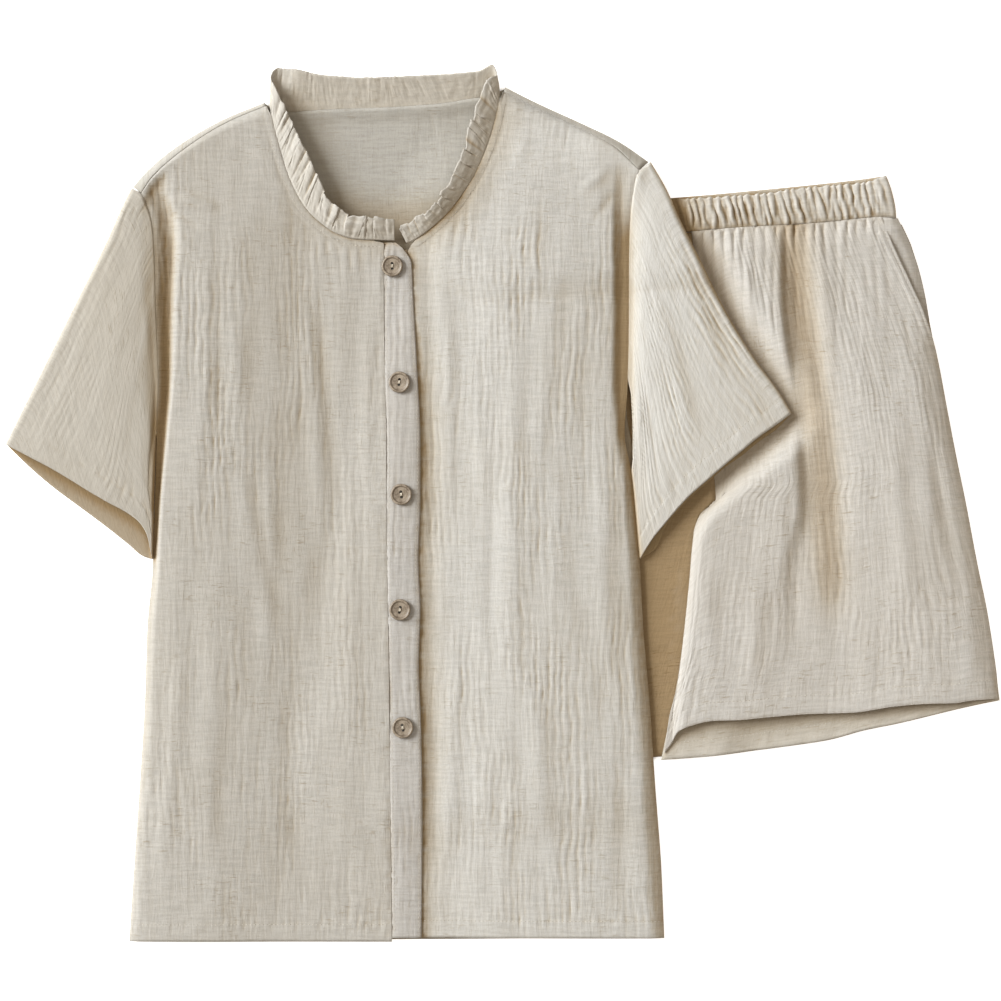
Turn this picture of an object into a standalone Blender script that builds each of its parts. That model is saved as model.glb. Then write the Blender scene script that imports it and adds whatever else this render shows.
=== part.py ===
"""A short pyjama set laid flat: a button-through shirt with a frilled neck on top of a pair of pull-on shorts.

Sizes are millimetres in the tables and become metres when a mesh is made. +X is to the right across the flat
layout, +Y up it, from the hems to the neck, and +Z away from the surface it lies on, which is z = 0.
"Right" and "left" are the wearer's, so the right front lies at -X.
"""

import math

import bmesh
import bpy
import numpy as np

MM = 0.001

# ---------------------------------------------------------------- named sizes
WALL = 1.2            # one layer of double gauze
PLACKET_WALL = 1.6    # the folded button stand
BAND_WALL = 1.6       # the waistband with its elastic
RUFFLE_WALL = 1.0
LAYER_GAP = 0.3       # between one layer and what it lies on
SEAM_GAP = 0.5        # between two pieces along a seam
SHORTS_STACK = 3.0    # height of the pressed shorts under the shirt, with the gap over them
BAND_STACK = 5.0      # height of the pressed waistband under the shirt, with the gap over it
DRAPE_REACH = 22.0    # a layer stays up this far past the edge of what it lies on
DRAPE_RAMP = 50.0     # and comes down over this width
PRESS_REACH = 18.0    # the shorts stay pressed flat this far past the shirt's edge
PRESS_RAMP = 26.0     # and rise to their own height over this width
SHOULDER_H = 9.0      # height of the front along the shoulder seam and the neck
PLACKET_RISE = 0.5    # the top placket stands this much over the front
PLACKET_DROP = 1.6    # the under placket and the left front pass this much lower

BUTTON_R = 8.6
BUTTON_H = 3.0
BUTTON_RIM = 1.5
BUTTON_DISH = 0.6
BUTTON_HOLE_R = 1.0
BUTTON_HOLE_SPAN = 3.6
BUTTON_SEGMENTS = 20

RUFFLE_PLEATS = 40
RUFFLE_PLEAT_H = 1.3
BAND_GATHERS = 40
BAND_GATHER_H = 0.7

CLOTH = (0.59, 0.55, 0.49)
CLOTH_INSIDE = (0.47, 0.42, 0.35)
BUTTON_COLOUR = (0.24, 0.18, 0.125)

# ---------------------------------------------------------------- tables, all in millimetres
# Shirt fronts. v runs from the hem (0) to the shoulder seam (1). The outer edge is the side and the armhole,
# the inner edge the placket seam and then the neck.
FRONT_RIGHT = (
    # v,     outer_x, outer_y, inner_x, inner_y
    (0.00, -299.0, -350.4, -89.0, -350.4),
    (0.10, -295.0, -290.0, -89.7, -290.0),
    (0.20, -290.5, -225.0, -90.5, -222.0),
    (0.30, -286.5, -160.0, -91.0, -155.0),
    (0.40, -284.5, -100.0, -92.0, -88.0),
    (0.48, -280.2, -50.0, -93.0, -34.0),
    (0.56, -279.0, 0.0, -93.2, 20.0),
    (0.65, -277.0, 58.4, -93.8, 82.0),
    (0.72, -275.6, 98.4, -95.0, 130.0),
    (0.80, -277.6, 155.0, -95.6, 180.0),
    (0.85, -278.4, 190.0, -95.6, 208.0),
    (0.89, -279.3, 212.0, -118.8, 209.6),
    (0.92, -281.0, 226.5, -140.0, 217.0),
    (0.95, -283.5, 235.5, -160.0, 235.5),
    (0.975, -286.0, 242.0, -176.0, 269.0),
    (0.985, -287.0, 244.5, -182.2, 292.0),
    (1.00, -288.5, 247.8, -188.2, 316.4),
)
FRONT_LEFT = (
    (0.00, 129.0, -348.0, -67.4, -347.2),
    (0.10, 126.5, -290.0, -67.4, -288.0),
    (0.20, 121.5, -225.0, -66.6, -222.0),
    (0.30, 117.0, -160.0, -68.0, -155.0),
    (0.40, 112.0, -100.0, -68.6, -88.0),
    (0.48, 109.2, -50.0, -69.4, -34.0),
    (0.56, 105.0, 0.0, -68.0, 20.0),
    (0.62, 102.4, 25.0, -68.4, 62.0),
    (0.66, 97.0, 55.0, -69.6, 90.0),
    (0.72, 99.5, 92.0, -72.0, 130.0),
    (0.80, 100.8, 150.0, -74.6, 178.0),
    (0.85, 100.8, 188.0, -76.0, 200.0),
    (0.89, 101.2, 214.0, -67.5, 210.0),
    (0.92, 102.2, 234.0, -54.5, 219.0),
    (0.95, 104.5, 252.0, -35.8, 239.0),
    (0.975, 106.3, 260.0, -17.6, 270.0),
    (0.985, 107.2, 263.0, -8.8, 292.0),
    (1.00, 108.2, 265.8, -0.6, 329.0),
)
# The shoulder seams on the front, and the fold of the back over the shoulder. t runs from the tip (0) to the neck (1).
SHOULDER_RIGHT = (
    # t,   seam_x, seam_y, fold_x, fold_y
    (0.00, -288.5, 247.8, -295.6, 253.0),
    (0.10, -282.0, 258.0, -287.8, 262.4),
    (0.35, -258.0, 280.0, -262.6, 284.0),
    (0.70, -220.5, 304.0, -222.8, 307.2),
    (1.00, -189.4, 317.2, -190.6, 320.4),
)
SHOULDER_LEFT = (
    (0.00, 108.2, 265.8, 115.8, 272.4),
    (0.20, 87.6, 285.4, 91.6, 289.2),
    (0.42, 62.8, 298.4, 65.2, 302.4),
    (0.75, 24.0, 317.0, 25.6, 320.6),
    (1.00, 0.6, 328.6, 1.6, 332.6),
)
BACK_NECK = (
    # x,      y
    (-187.8, 317.0),
    (-180.0, 311.5),
    (-168.0, 308.6),
    (-141.0, 311.6),
    (-104.0, 313.2),
    (-50.0, 316.8),
    (-22.0, 321.6),
    (-0.6, 328.6),
)
# Height of the top of the fronts over what they lie on, across the body, for each level y. dx is from the edge.
BODY_COLUMNS = (
    "y", "r_edge", "r_roll_dx", "r_roll", "r_fall_dx", "r_fall", "r_ridge_x", "r_ridge", "trough_x", "trough",
    "placket_r", "placket_l", "dip_x", "dip", "l_ridge_x", "l_ridge", "l_fall_dx", "l_fall", "l_roll_dx", "l_roll",
    "l_edge",
)
BODY = (
    (-350, 3.0, 2.0, 4.4, 8.0, 6.2, -245, 8.2, -165, 6.6, 7.2, 7.4, -50, 6.2, 5, 8.4, 12, 6.6, 4, 4.6, 3.0),
    (-250, 3.0, 2.0, 5.0, 8.0, 7.6, -240, 10.0, -145, 7.2, 8.2, 8.4, -51, 6.8, 6, 10.2, 13, 7.6, 4, 5.2, 3.0),
    (-110, 3.0, 2.0, 5.0, 7.0, 7.8, -232, 10.2, -140, 7.4, 8.2, 8.4, -52, 6.8, 8, 10.4, 12, 7.8, 4, 5.2, 3.0),
    (-50, 3.0, 2.0, 4.2, 7.0, 8.2, -228, 10.4, -140, 7.4, 8.2, 8.4, -52, 6.8, 9, 10.6, 10, 8.4, 4, 6.0, 3.4),
    (0, 3.0, 3.0, 3.4, 9.0, 9.0, -226, 10.6, -140, 7.6, 8.2, 8.4, -53, 6.8, 10, 10.8, 10, 8.8, 4, 6.4, 3.6),
    (58, 3.0, 4.0, 3.2, 10.0, 9.6, -224, 10.8, -142, 7.6, 8.2, 8.4, -53, 6.8, 10, 10.8, 10, 8.8, 3, 6.2, 4.6),
    (98, 3.2, 5.0, 3.2, 10.5, 10.0, -222, 10.8, -144, 7.8, 8.2, 8.4, -53, 7.0, 9, 10.8, 17, 8.8, 8, 4.6, 4.0),
    (162, 3.6, 6.0, 3.2, 15.0, 10.0, -222, 11.0, -146, 7.8, 8.4, 8.6, -53, 7.0, 9, 10.8, 17, 8.8, 8, 4.4, 4.0),
    (212, 4.2, 7.0, 3.6, 20.0, 9.6, -218, 10.6, -150, 8.0, 8.4, 8.6, -52, 7.4, 11, 10.6, 18, 8.8, 9, 5.0, 4.6),
    (249, 7.4, 8.0, 6.4, 24.0, 9.0, -214, 9.8, -150, 8.4, 8.6, 8.8, -50, 8.0, 14, 10.0, 24, 8.8, 12, 6.6, 7.2),
)
# Plackets. The right one is on top; x of its two edges by level.
PLACKET = (
    # y,      right_x, left_x
    (-350.0, -88.6, -65.2),
    (-243.0, -89.8, -64.4),
    (-178.0, -90.4, -65.4),
    (-127.0, -91.0, -67.2),
    (-85.0, -91.7, -66.0),
    (-45.0, -92.4, -67.6),
    (2.0, -92.7, -66.0),
    (50.0, -93.0, -66.0),
    (104.0, -94.0, -68.4),
    (138.0, -94.8, -70.2),
    (168.0, -95.1, -71.9),
    (192.0, -95.1, -73.2),
    (203.0, -95.1, -79.4),
    (208.4, -95.1, -85.6),
)
BUTTONS = (
    # x,     y
    (-88.4, 189.6),
    (-82.6, 96.8),
    (-81.2, 7.2),
    (-82.2, -84.8),
    (-80.0, -178.8),
)
# Sleeves. Each is a flat tube between the armhole and the cuff. t runs from the armhole (0) to the cuff (1).
SLEEVE_RIGHT_ARMHOLE = (
    # x,      y      from the shoulder to the underarm
    (-296.6, 252.4),
    (-289.4, 246.6),
    (-286.8, 240.6),
    (-284.3, 234.6),
    (-281.8, 226.0),
    (-280.1, 212.0),
    (-279.1, 190.0),
    (-278.3, 155.0),
    (-276.4, 98.0),
    (-277.9, 58.4),
)
SLEEVE_RIGHT_OUTER = ((-296.6, 252.4), (-302.8, 241.0), (-316.4, 210.4), (-340.4, 162.4), (-364.4, 114.4), (-380.4, 82.4), (-398.0, 47.2))
SLEEVE_RIGHT_INNER = ((-277.9, 58.4), (-280.6, 45.0), (-282.6, 27.0), (-283.8, 6.0), (-283.6, -6.0), (-281.6, -16.0), (-281.2, -30.0), (-281.6, -44.4))
SLEEVE_RIGHT_CUFF_FRONT = ((-398.0, 47.2), (-376.4, 36.0), (-361.2, 28.0), (-343.6, 17.6), (-330.8, 9.6), (-315.6, 0.8), (-299.6, -8.0), (-290.0, -16.0), (-284.2, -27.0), (-281.6, -44.4))
SLEEVE_RIGHT_CUFF_BACK = ((-398.0, 47.2), (-381.6, 31.2), (-361.2, 13.6), (-345.2, 1.6), (-320.4, -16.8), (-299.6, -33.2), (-287.4, -43.0), (-281.6, -44.4))
SLEEVE_LEFT_ARMHOLE = (
    (117.6, 272.6),
    (110.2, 266.0),
    (107.8, 260.0),
    (105.6, 251.6),
    (103.3, 234.0),
    (102.2, 214.0),
    (101.8, 188.0),
    (101.8, 150.0),
    (102.4, 100.0),
    (104.4, 58.4),
)
SLEEVE_LEFT_OUTER = ((117.6, 272.6), (130.0, 251.2), (140.4, 228.0), (158.0, 192.8), (177.6, 153.6), (202.8, 112.8), (218.4, 92.0), (230.8, 72.0))
SLEEVE_LEFT_INNER = ((104.4, 58.4), (104.2, 41.6), (104.4, 24.8), (106.3, 7.2), (108.0, -13.6), (110.0, -33.6), (111.2, -44.2))
SLEEVE_LEFT_CUFF_FRONT = ((230.8, 72.0), (218.8, 63.2), (202.8, 52.0), (191.2, 42.4), (177.6, 31.2), (160.1, 16.0), (149.2, 6.4), (130.0, -15.2), (117.0, -32.0), (111.2, -44.2))
SLEEVE_LEFT_CUFF_BACK = ((230.8, 72.0), (220.4, 60.8), (202.8, 48.0), (191.2, 38.4), (177.6, 28.8), (160.1, 13.6), (149.2, 4.0), (130.4, -18.4), (121.8, -36.8), (111.2, -44.2))
# Height of the sleeve's upper layer over what it lies on, at shares of the way across from the shoulder side.
SLEEVE_COLUMNS = ("t", "shoulder", "upper", "middle", "lower", "underarm")
SLEEVE_RIGHT_HEIGHTS = (
    (0.00, 8.0, 4.4, 4.2, 3.8, 3.6),
    (0.05, 8.6, 7.6, 7.0, 5.6, 4.8),
    (0.14, 9.0, 10.0, 10.2, 8.6, 6.6),
    (0.35, 8.6, 10.6, 11.0, 10.0, 7.8),
    (0.70, 7.6, 9.6, 10.2, 9.4, 7.4),
    (1.00, 5.2, 8.4, 9.4, 8.8, 6.0),
)
SLEEVE_LEFT_HEIGHTS = (
    (0.00, 8.0, 5.0, 4.6, 4.4, 4.4),
    (0.05, 8.6, 7.0, 6.4, 5.4, 5.0),
    (0.16, 9.0, 9.4, 9.2, 7.2, 5.8),
    (0.35, 8.8, 10.4, 10.4, 8.8, 6.6),
    (0.70, 7.6, 9.4, 9.8, 8.6, 6.4),
    (1.00, 5.0, 7.6, 8.4, 7.4, 5.4),
)
SLEEVE_EDGE_R = 4.0   # the rolled edge along the fold of the tube
# Neck frill: its seam and its free edge, round from the right front to the left front.
RUFFLE = (
    # s,   base_x,  base_y, base_z, edge_x,  edge_y, edge_z
    (0.000, -86.6, 210.2, 8.8, -86.6, 226.2, 13.5),
    (0.030, -102.0, 210.5, 8.4, -101.0, 227.2, 14.0),
    (0.060, -117.8, 211.4, 8.4, -113.0, 228.6, 14.0),
    (0.090, -131.8, 215.4, 8.4, -126.6, 232.0, 14.0),
    (0.130, -147.4, 225.8, 8.4, -138.6, 244.0, 14.2),
    (0.165, -158.6, 237.6, 8.4, -147.6, 260.8, 14.2),
    (0.205, -168.8, 256.4, 8.4, -156.0, 280.6, 14.0),
    (0.240, -174.8, 272.4, 8.4, -164.2, 296.0, 13.6),
    (0.285, -181.0, 294.0, 8.4, -171.6, 311.0, 13.2),
    (0.320, -185.0, 309.0, 8.0, -180.0, 327.0, 12.4),
    (0.340, -186.6, 316.4, 5.4, -185.9, 341.0, 8.0),
    (0.360, -182.8, 316.4, 2.6, -180.2, 348.6, 4.4),
    (0.400, -168.0, 312.8, 2.3, -165.0, 347.6, 3.4),
    (0.450, -141.0, 314.6, 1.9, -143.0, 343.0, 2.8),
    (0.520, -104.0, 315.8, 1.6, -104.4, 341.4, 2.6),
    (0.620, -50.0, 319.4, 1.6, -62.0, 343.0, 2.8),
    (0.670, -22.0, 324.2, 1.8, -20.0, 346.2, 3.4),
    (0.695, -6.6, 327.2, 2.6, -8.6, 351.6, 4.8),
    (0.710, -2.2, 328.0, 5.4, -5.0, 344.0, 8.0),
    (0.725, -3.4, 322.0, 8.0, -13.4, 338.0, 12.4),
    (0.760, -6.6, 305.0, 8.4, -20.6, 318.0, 13.2),
    (0.800, -13.0, 285.0, 8.4, -27.6, 298.0, 13.8),
    (0.840, -20.2, 267.0, 8.4, -34.0, 276.0, 14.0),
    (0.890, -34.2, 244.6, 8.4, -46.0, 251.0, 14.0),
    (0.925, -46.6, 229.8, 8.2, -55.4, 237.0, 13.6),
    (0.955, -59.8, 218.2, 7.6, -65.0, 230.0, 12.6),
    (0.980, -71.4, 210.2, 7.0, -76.0, 225.4, 11.6),
    (1.000, -77.0, 208.2, 6.8, -83.0, 219.6, 11.0),
)
# Shorts. v runs from the leg hem (0) to the waist seam (1). The left leg lies over the right one.
SHORTS_LEFT_FRONT = (
    # v,     inner_x, inner_y, outer_x, outer_y
    (0.00, 129.2, -199.2, 396.4, -156.4),
    (0.10, 132.8, -172.0, 394.6, -134.0),
    (0.20, 138.6, -148.0, 392.6, -118.0),
    (0.35, 144.2, -108.0, 388.0, -88.0),
    (0.50, 149.0, -62.0, 379.8, -48.0),
    (0.60, 152.4, -26.0, 374.0, -18.0),
    (0.66, 158.0, -9.0, 369.4, 6.0),
    (0.71, 170.6, 3.0, 364.0, 32.0),
    (0.79, 166.8, 48.0, 356.0, 74.0),
    (0.86, 162.4, 98.0, 345.6, 126.0),
    (0.91, 158.0, 150.0, 336.6, 152.0),
    (0.95, 154.8, 185.0, 324.4, 179.0),
    (0.98, 152.4, 205.0, 311.0, 208.0),
    (1.00, 151.2, 217.2, 302.8, 228.8),
)
SHORTS_LEFT_BACK = (
    (0.00, 126.6, -205.4, 397.8, -157.8),
    (0.10, 129.6, -176.0, 395.6, -136.0),
    (0.20, 136.0, -148.0, 393.2, -118.0),
    (0.35, 141.8, -108.0, 388.4, -88.0),
    (0.50, 146.6, -62.0, 380.2, -48.0),
    (0.60, 150.2, -26.0, 374.6, -18.0),
    (0.66, 156.4, -9.0, 370.0, 6.0),
    (0.71, 170.6, 3.0, 364.6, 32.0),
    (0.79, 166.8, 48.0, 356.4, 74.0),
    (0.86, 162.4, 98.0, 345.8, 126.0),
    (0.91, 158.0, 150.0, 341.0, 150.0),
    (0.95, 154.8, 185.0, 335.2, 178.0),
    (0.98, 152.4, 205.0, 327.6, 206.0),
    (1.00, 151.2, 217.2, 319.6, 223.6),
)
SHORTS_RIGHT = (
    # v,     outer_x, outer_y, inner_x, inner_y
    (0.00, -112.0, -217.0, 162.0, -200.4),
    (0.20, -96.0, -140.0, 163.0, -137.0),
    (0.38, -80.0, -70.0, 155.0, -82.0),
    (0.48, -69.0, -18.0, 145.0, -45.0),
    (0.56, -62.0, 5.0, 148.6, -14.0),
    (0.63, -55.0, 38.0, 168.0, 2.8),
    (0.76, -40.0, 96.0, 166.0, 48.0),
    (0.88, -27.0, 150.0, 159.4, 125.0),
    (1.00, -15.0, 205.6, 150.6, 217.2),
)
LEG_HEM_FRONT = (
    # x,      y      from the inner leg to the outseam
    (129.2, -199.2), (134.0, -193.4), (140.1, -182.4), (148.8, -177.9), (168.2, -173.6), (187.6, -173.0),
    (206.8, -171.2), (246.0, -168.2), (278.8, -167.2), (314.8, -162.0), (340.4, -160.0), (361.2, -159.6),
    (376.4, -157.4), (396.4, -156.4),
)
LEG_HEM_BACK = (
    (126.6, -205.4), (138.8, -204.6), (168.4, -202.2), (206.8, -197.4), (226.0, -194.9), (262.0, -189.4),
    (289.2, -182.0), (314.8, -176.8), (340.4, -170.7), (361.2, -165.6), (381.6, -161.0), (397.8, -157.8),
)
WAIST_SEAM = (
    (-15.0, 206.0), (70.0, 212.6), (150.8, 217.8), (171.6, 219.6), (201.2, 221.6), (230.0, 223.0), (259.6, 225.2),
    (288.4, 228.2), (302.8, 229.2), (314.4, 228.6),
)
BAND_TOP_FRONT = (
    (-18.8, 230.8), (70.0, 238.4), (134.8, 243.2), (152.4, 244.0), (191.2, 246.4), (210.8, 248.0), (230.0, 251.2), (259.6, 254.0),
    (288.4, 256.6), (306.4, 262.6),
)
BAND_TOP_BACK = (
    (-19.2, 234.6), (70.0, 242.4), (132.0, 246.6), (191.2, 251.2), (288.4, 260.2), (306.4, 262.6),
)
BAND_RIGHT_END = ((-15.0, 206.0), (-17.4, 220.0), (-18.8, 230.8))
BAND_LEFT_END = ((314.4, 228.6), (314.0, 234.4), (311.0, 249.2), (306.4, 262.6))
# Height of the left leg's front, across the leg, for each level. dx is from the edge.
LEG_COLUMNS = (
    "y", "i_edge", "i_roll_dx", "i_roll", "i_top_dx", "i_top", "ridge_x", "ridge", "fold_x", "fold", "trough_x", "trough",
    "step_x", "step", "o_ridge_x", "o_ridge", "o_top_dx", "o_top", "o_roll_dx", "o_roll", "o_edge",
)
LEG = (
    (-200, 5.9, 2.5, 8.4, 9, 10.4, 176, 10.4, 214, 9.0, 258, 8.0, 300, 8.8, 330, 8.8, 18, 6.8, 5, 4.6, 2.7),
    (-130, 5.9, 2.5, 9.0, 9, 11.4, 180, 11.2, 220, 9.2, 266, 8.0, 304, 9.6, 334, 9.6, 16, 7.2, 5, 4.8, 2.7),
    (-60, 5.9, 2.5, 9.4, 9, 12.0, 190, 11.6, 228, 9.6, 262, 8.2, 286, 10.0, 318, 10.4, 14, 7.6, 5, 5.0, 2.7),
    (0, 5.9, 3.0, 9.0, 10, 11.6, 212, 11.8, 238, 10.2, 256, 8.2, 276, 10.2, 306, 10.8, 14, 7.8, 5, 5.2, 2.7),
    (60, 6.0, 3.0, 7.6, 12, 9.4, 222, 12.0, 238, 9.6, 254, 7.8, 274, 10.2, 300, 10.8, 14, 8.0, 5, 5.4, 2.7),
    (110, 6.4, 3.0, 7.2, 14, 8.6, 216, 12.0, 232, 8.6, 246, 7.8, 268, 10.4, 292, 10.6, 14, 8.2, 5, 5.6, 2.9),
    (160, 6.8, 3.0, 7.2, 14, 8.4, 216, 11.4, 231, 7.8, 242, 8.4, 260, 10.2, 284, 10.2, 14, 9.0, 5, 8.6, 8.2),
    (210, 6.8, 3.0, 7.0, 14, 8.0, 216, 9.4, 229, 7.4, 238, 8.0, 254, 8.8, 278, 8.8, 14, 8.6, 5, 8.4, 8.2),
    (232, 6.6, 3.0, 6.8, 14, 7.4, 216, 8.0, 229, 7.2, 238, 7.4, 252, 7.8, 276, 7.8, 14, 7.8, 5, 7.8, 7.6),
)
POCKET_LEFT = (
    # v,    inner_x, inner_y, outer_x, outer_y
    (0.00, 326.0, 141.0, 341.6, 147.0),
    (0.30, 318.0, 160.0, 337.6, 168.0),
    (0.60, 307.0, 184.0, 332.2, 190.0),
    (1.00, 292.0, 224.0, 319.4, 223.4),
)
POCKET_RIGHT = (
    # v,    outer_x, outer_y, inner_x, inner_y
    (0.00, -31.0, 138.0, -30.4, 139.0),
    (0.50, -23.4, 172.0, -17.6, 172.0),
    (1.00, -15.0, 205.0, -5.0, 205.4),
)


# ---------------------------------------------------------------- small tools
def smooth(t):
    t = np.clip(t, 0.0, 1.0)
    return t * t * (3.0 - 2.0 * t)


def monotone(x, xs, ys):
    """A smooth curve through the knots (xs, ys) that never overshoots them. Knots may differ from point to point."""
    x = np.asarray(x, float)
    xs = np.asarray(xs, float)
    ys = np.asarray(ys, float)
    shape = x.shape + (xs.shape[-1],)
    xs = np.broadcast_to(xs, shape)
    ys = np.broadcast_to(ys, shape)
    h = np.diff(xs, axis=-1)
    d = np.diff(ys, axis=-1) / h
    w1 = 2.0 * h[..., 1:] + h[..., :-1]
    w2 = h[..., 1:] + 2.0 * h[..., :-1]
    same = d[..., 1:] * d[..., :-1] > 0.0
    before = np.where(same, d[..., :-1], 1.0)
    after = np.where(same, d[..., 1:], 1.0)
    inner = np.where(same, (w1 + w2) / (w1 / before + w2 / after), 0.0)
    m = np.concatenate([d[..., :1], inner, d[..., -1:]], axis=-1)
    k = np.clip((x[..., None] >= xs[..., 1:-1]).sum(axis=-1), 0, shape[-1] - 2)

    def take(a):
        return np.take_along_axis(a, k[..., None], axis=-1)[..., 0]

    step = take(h)
    t = np.clip((x - take(xs[..., :-1])) / step, 0.0, 1.0)
    y0, y1 = take(ys[..., :-1]), take(ys[..., 1:])
    m0, m1 = take(m[..., :-1]) * step, take(m[..., 1:]) * step
    t2, t3 = t * t, t * t * t
    return y0 * (2 * t3 - 3 * t2 + 1) + m0 * (t3 - 2 * t2 + t) + y1 * (3 * t2 - 2 * t3) + m1 * (t3 - t2)


def track(rows, first, v):
    """The point (x, y) of a table of stations at v, from the two columns that start at first."""
    rows = np.array(rows)
    return np.stack([monotone(v, rows[:, 0], rows[:, first + i]) for i in (0, 1)], axis=-1)


def along(points, u):
    """The point (x, y) at the share u of the length of a smooth curve through the points."""
    points = np.array(points)
    run = np.concatenate([[0.0], np.cumsum(np.linalg.norm(np.diff(points, axis=0), axis=1))])
    return np.stack([monotone(np.asarray(u) * run[-1], run, points[:, i]) for i in (0, 1)], axis=-1)


def coons(bottom, top, left, right):
    """A patch between four edges, (nu, 2), (nu, 2), (nv, 2), (nv, 2), with its own shares of the way as weights."""

    def share(edge):
        run = np.concatenate([[0.0], np.cumsum(np.linalg.norm(np.diff(edge, axis=0), axis=1))])
        return run / run[-1]

    u = 0.5 * (share(bottom) + share(top))[None, :, None]
    v = 0.5 * (share(left) + share(right))[:, None, None]
    b, t, l, r = bottom[None], top[None], left[:, None], right[:, None]
    corners = (1 - u) * (1 - v) * bottom[0] + u * (1 - v) * bottom[-1] + (1 - u) * v * top[0] + u * v * top[-1]
    return (1 - v) * b + v * t + (1 - u) * l + u * r - corners


def outside(x, y, polygon):
    """The distance from each point to the polygon, 0 inside it."""
    p = np.array(polygon, float)
    q = np.roll(p, -1, axis=0)
    best = np.full(x.shape, np.inf)
    inside = np.zeros(x.shape, bool)
    for (ax, ay), (bx, by) in zip(p, q):
        ex, ey = bx - ax, by - ay
        if not (ex or ey):
            continue
        t = np.clip(((x - ax) * ex + (y - ay) * ey) / (ex * ex + ey * ey), 0.0, 1.0)
        best = np.minimum(best, np.hypot(x - ax - t * ex, y - ay - t * ey))
        crosses = (ay > y) != (by > y)
        at = ax + (y - ay) * ex / (ey if ey else 1e-9)
        inside ^= crosses & (x < at)
    return np.where(inside, 0.0, best)


def edge_points(rows, first):
    return [(row[first], row[first + 1]) for row in rows]


# ---------------------------------------------------------------- what lies under what
RIGHT_LEG = edge_points(SHORTS_RIGHT, 1) + edge_points(SHORTS_RIGHT, 3)[::-1]
RIGHT_LEG_LOW = edge_points(SHORTS_RIGHT[:4], 1) + edge_points(SHORTS_RIGHT[:4], 3)[::-1]
SHORTS_OUTLINE = edge_points(SHORTS_RIGHT, 1) + [(302.8, 229.6), (366.0, 32.0), (396.4, -156.4), (129.2, -199.2)]
BAND_OUTLINE = [(-15.0, 205.0), (150.0, 216.0), (314.0, 227.0), (307.0, 262.0), (130.0, 248.0), (-19.4, 236.0)]
SHIRT_OUTLINE = (
    [(-300.0, -352.0)] + edge_points(FRONT_LEFT[:6], 1) + list(SLEEVE_LEFT_CUFF_BACK[::-1]) + list(SLEEVE_LEFT_OUTER[::-1])
    + [(0.0, 336.0), (-300.0, 336.0)]
)


def support(x, y):
    """The height that the shirt lies on: the surface, the pressed shorts and their waistband."""
    shorts = SHORTS_STACK * (1.0 - smooth((outside(x, y, SHORTS_OUTLINE) - DRAPE_REACH) / DRAPE_RAMP))
    band = BAND_STACK * (1.0 - smooth((outside(x, y, BAND_OUTLINE) - DRAPE_REACH) / DRAPE_RAMP))
    return np.maximum(shorts, band)


def leg_support(x, y):
    """The height that the left leg lies on: the surface, or the right leg below the crotch."""
    return SHORTS_STACK * (1.0 - smooth((outside(x, y, RIGHT_LEG_LOW) - 13.0) / 24.0))


def body_height(x, y):
    """The top of the shirt's fronts over what they lie on."""
    level = np.minimum(y, 249.0)
    rows = np.array(BODY, float)
    right, left = np.array(FRONT_RIGHT), np.array(FRONT_LEFT)
    low = monotone(level, right[:, 2], right[:, 1])
    high = monotone(level, left[:, 2], left[:, 1])
    band = np.array(PLACKET)
    placket_r = monotone(np.minimum(level, 200.0), band[:, 0], band[:, 1])
    placket_l = monotone(np.minimum(level, 190.0), band[:, 0], band[:, 2])
    at = {name: monotone(level, rows[:, 0], rows[:, i]) for i, name in enumerate(BODY_COLUMNS) if i}
    knots = (
        (low, at["r_edge"]), (low + at["r_roll_dx"], at["r_roll"]), (low + at["r_fall_dx"], at["r_fall"]),
        (at["r_ridge_x"], at["r_ridge"]), (at["trough_x"], at["trough"]), (placket_r, at["placket_r"]),
        (placket_l, at["placket_l"]), (at["dip_x"], at["dip"]), (at["l_ridge_x"], at["l_ridge"]),
        (high - at["l_fall_dx"], at["l_fall"]), (high - at["l_roll_dx"], at["l_roll"]), (high, at["l_edge"]),
    )
    xs = np.stack(np.broadcast_arrays(*[k for k, _ in knots]), axis=-1)
    hs = np.stack(np.broadcast_arrays(*[h for _, h in knots]), axis=-1)
    height = monotone(x, xs, hs)
    upper = smooth((y - 240.0) / 45.0)
    return height * (1.0 - upper) + SHOULDER_H * upper


def leg_height(x, y):
    """The top of the left leg's front."""
    rows = np.array(LEG, float)
    level = np.clip(y, rows[0, 0], rows[-1, 0])
    panel = np.array(SHORTS_LEFT_FRONT)
    inner = monotone(level, panel[:, 2], panel[:, 1])
    outer = monotone(level, panel[:, 4], panel[:, 3])
    at = {name: monotone(level, rows[:, 0], rows[:, i]) for i, name in enumerate(LEG_COLUMNS) if i}
    knots = (
        (inner, at["i_edge"]), (inner + at["i_roll_dx"], at["i_roll"]), (inner + at["i_top_dx"], at["i_top"]),
        (at["ridge_x"], at["ridge"]), (at["fold_x"], at["fold"]), (at["trough_x"], at["trough"]),
        (at["step_x"], at["step"]), (at["o_ridge_x"], at["o_ridge"]),
        (outer - at["o_top_dx"], at["o_top"]), (outer - at["o_roll_dx"], at["o_roll"]), (outer, at["o_edge"]),
    )
    xs = np.stack(np.broadcast_arrays(*[k for k, _ in knots]), axis=-1)
    hs = np.stack(np.broadcast_arrays(*[h for _, h in knots]), axis=-1)
    full = monotone(x, xs, hs)
    # It is pressed flat under the sleeve, and stays over the back and over the right leg where it crosses that.
    pressed = SHORTS_STACK - LAYER_GAP
    height = pressed + (full - pressed) * smooth((outside(x, y, SHIRT_OUTLINE) - PRESS_REACH) / PRESS_RAMP)
    return np.maximum(height, 1.3 * leg_support(x, y) + 2.0 * WALL + LAYER_GAP)


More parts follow.
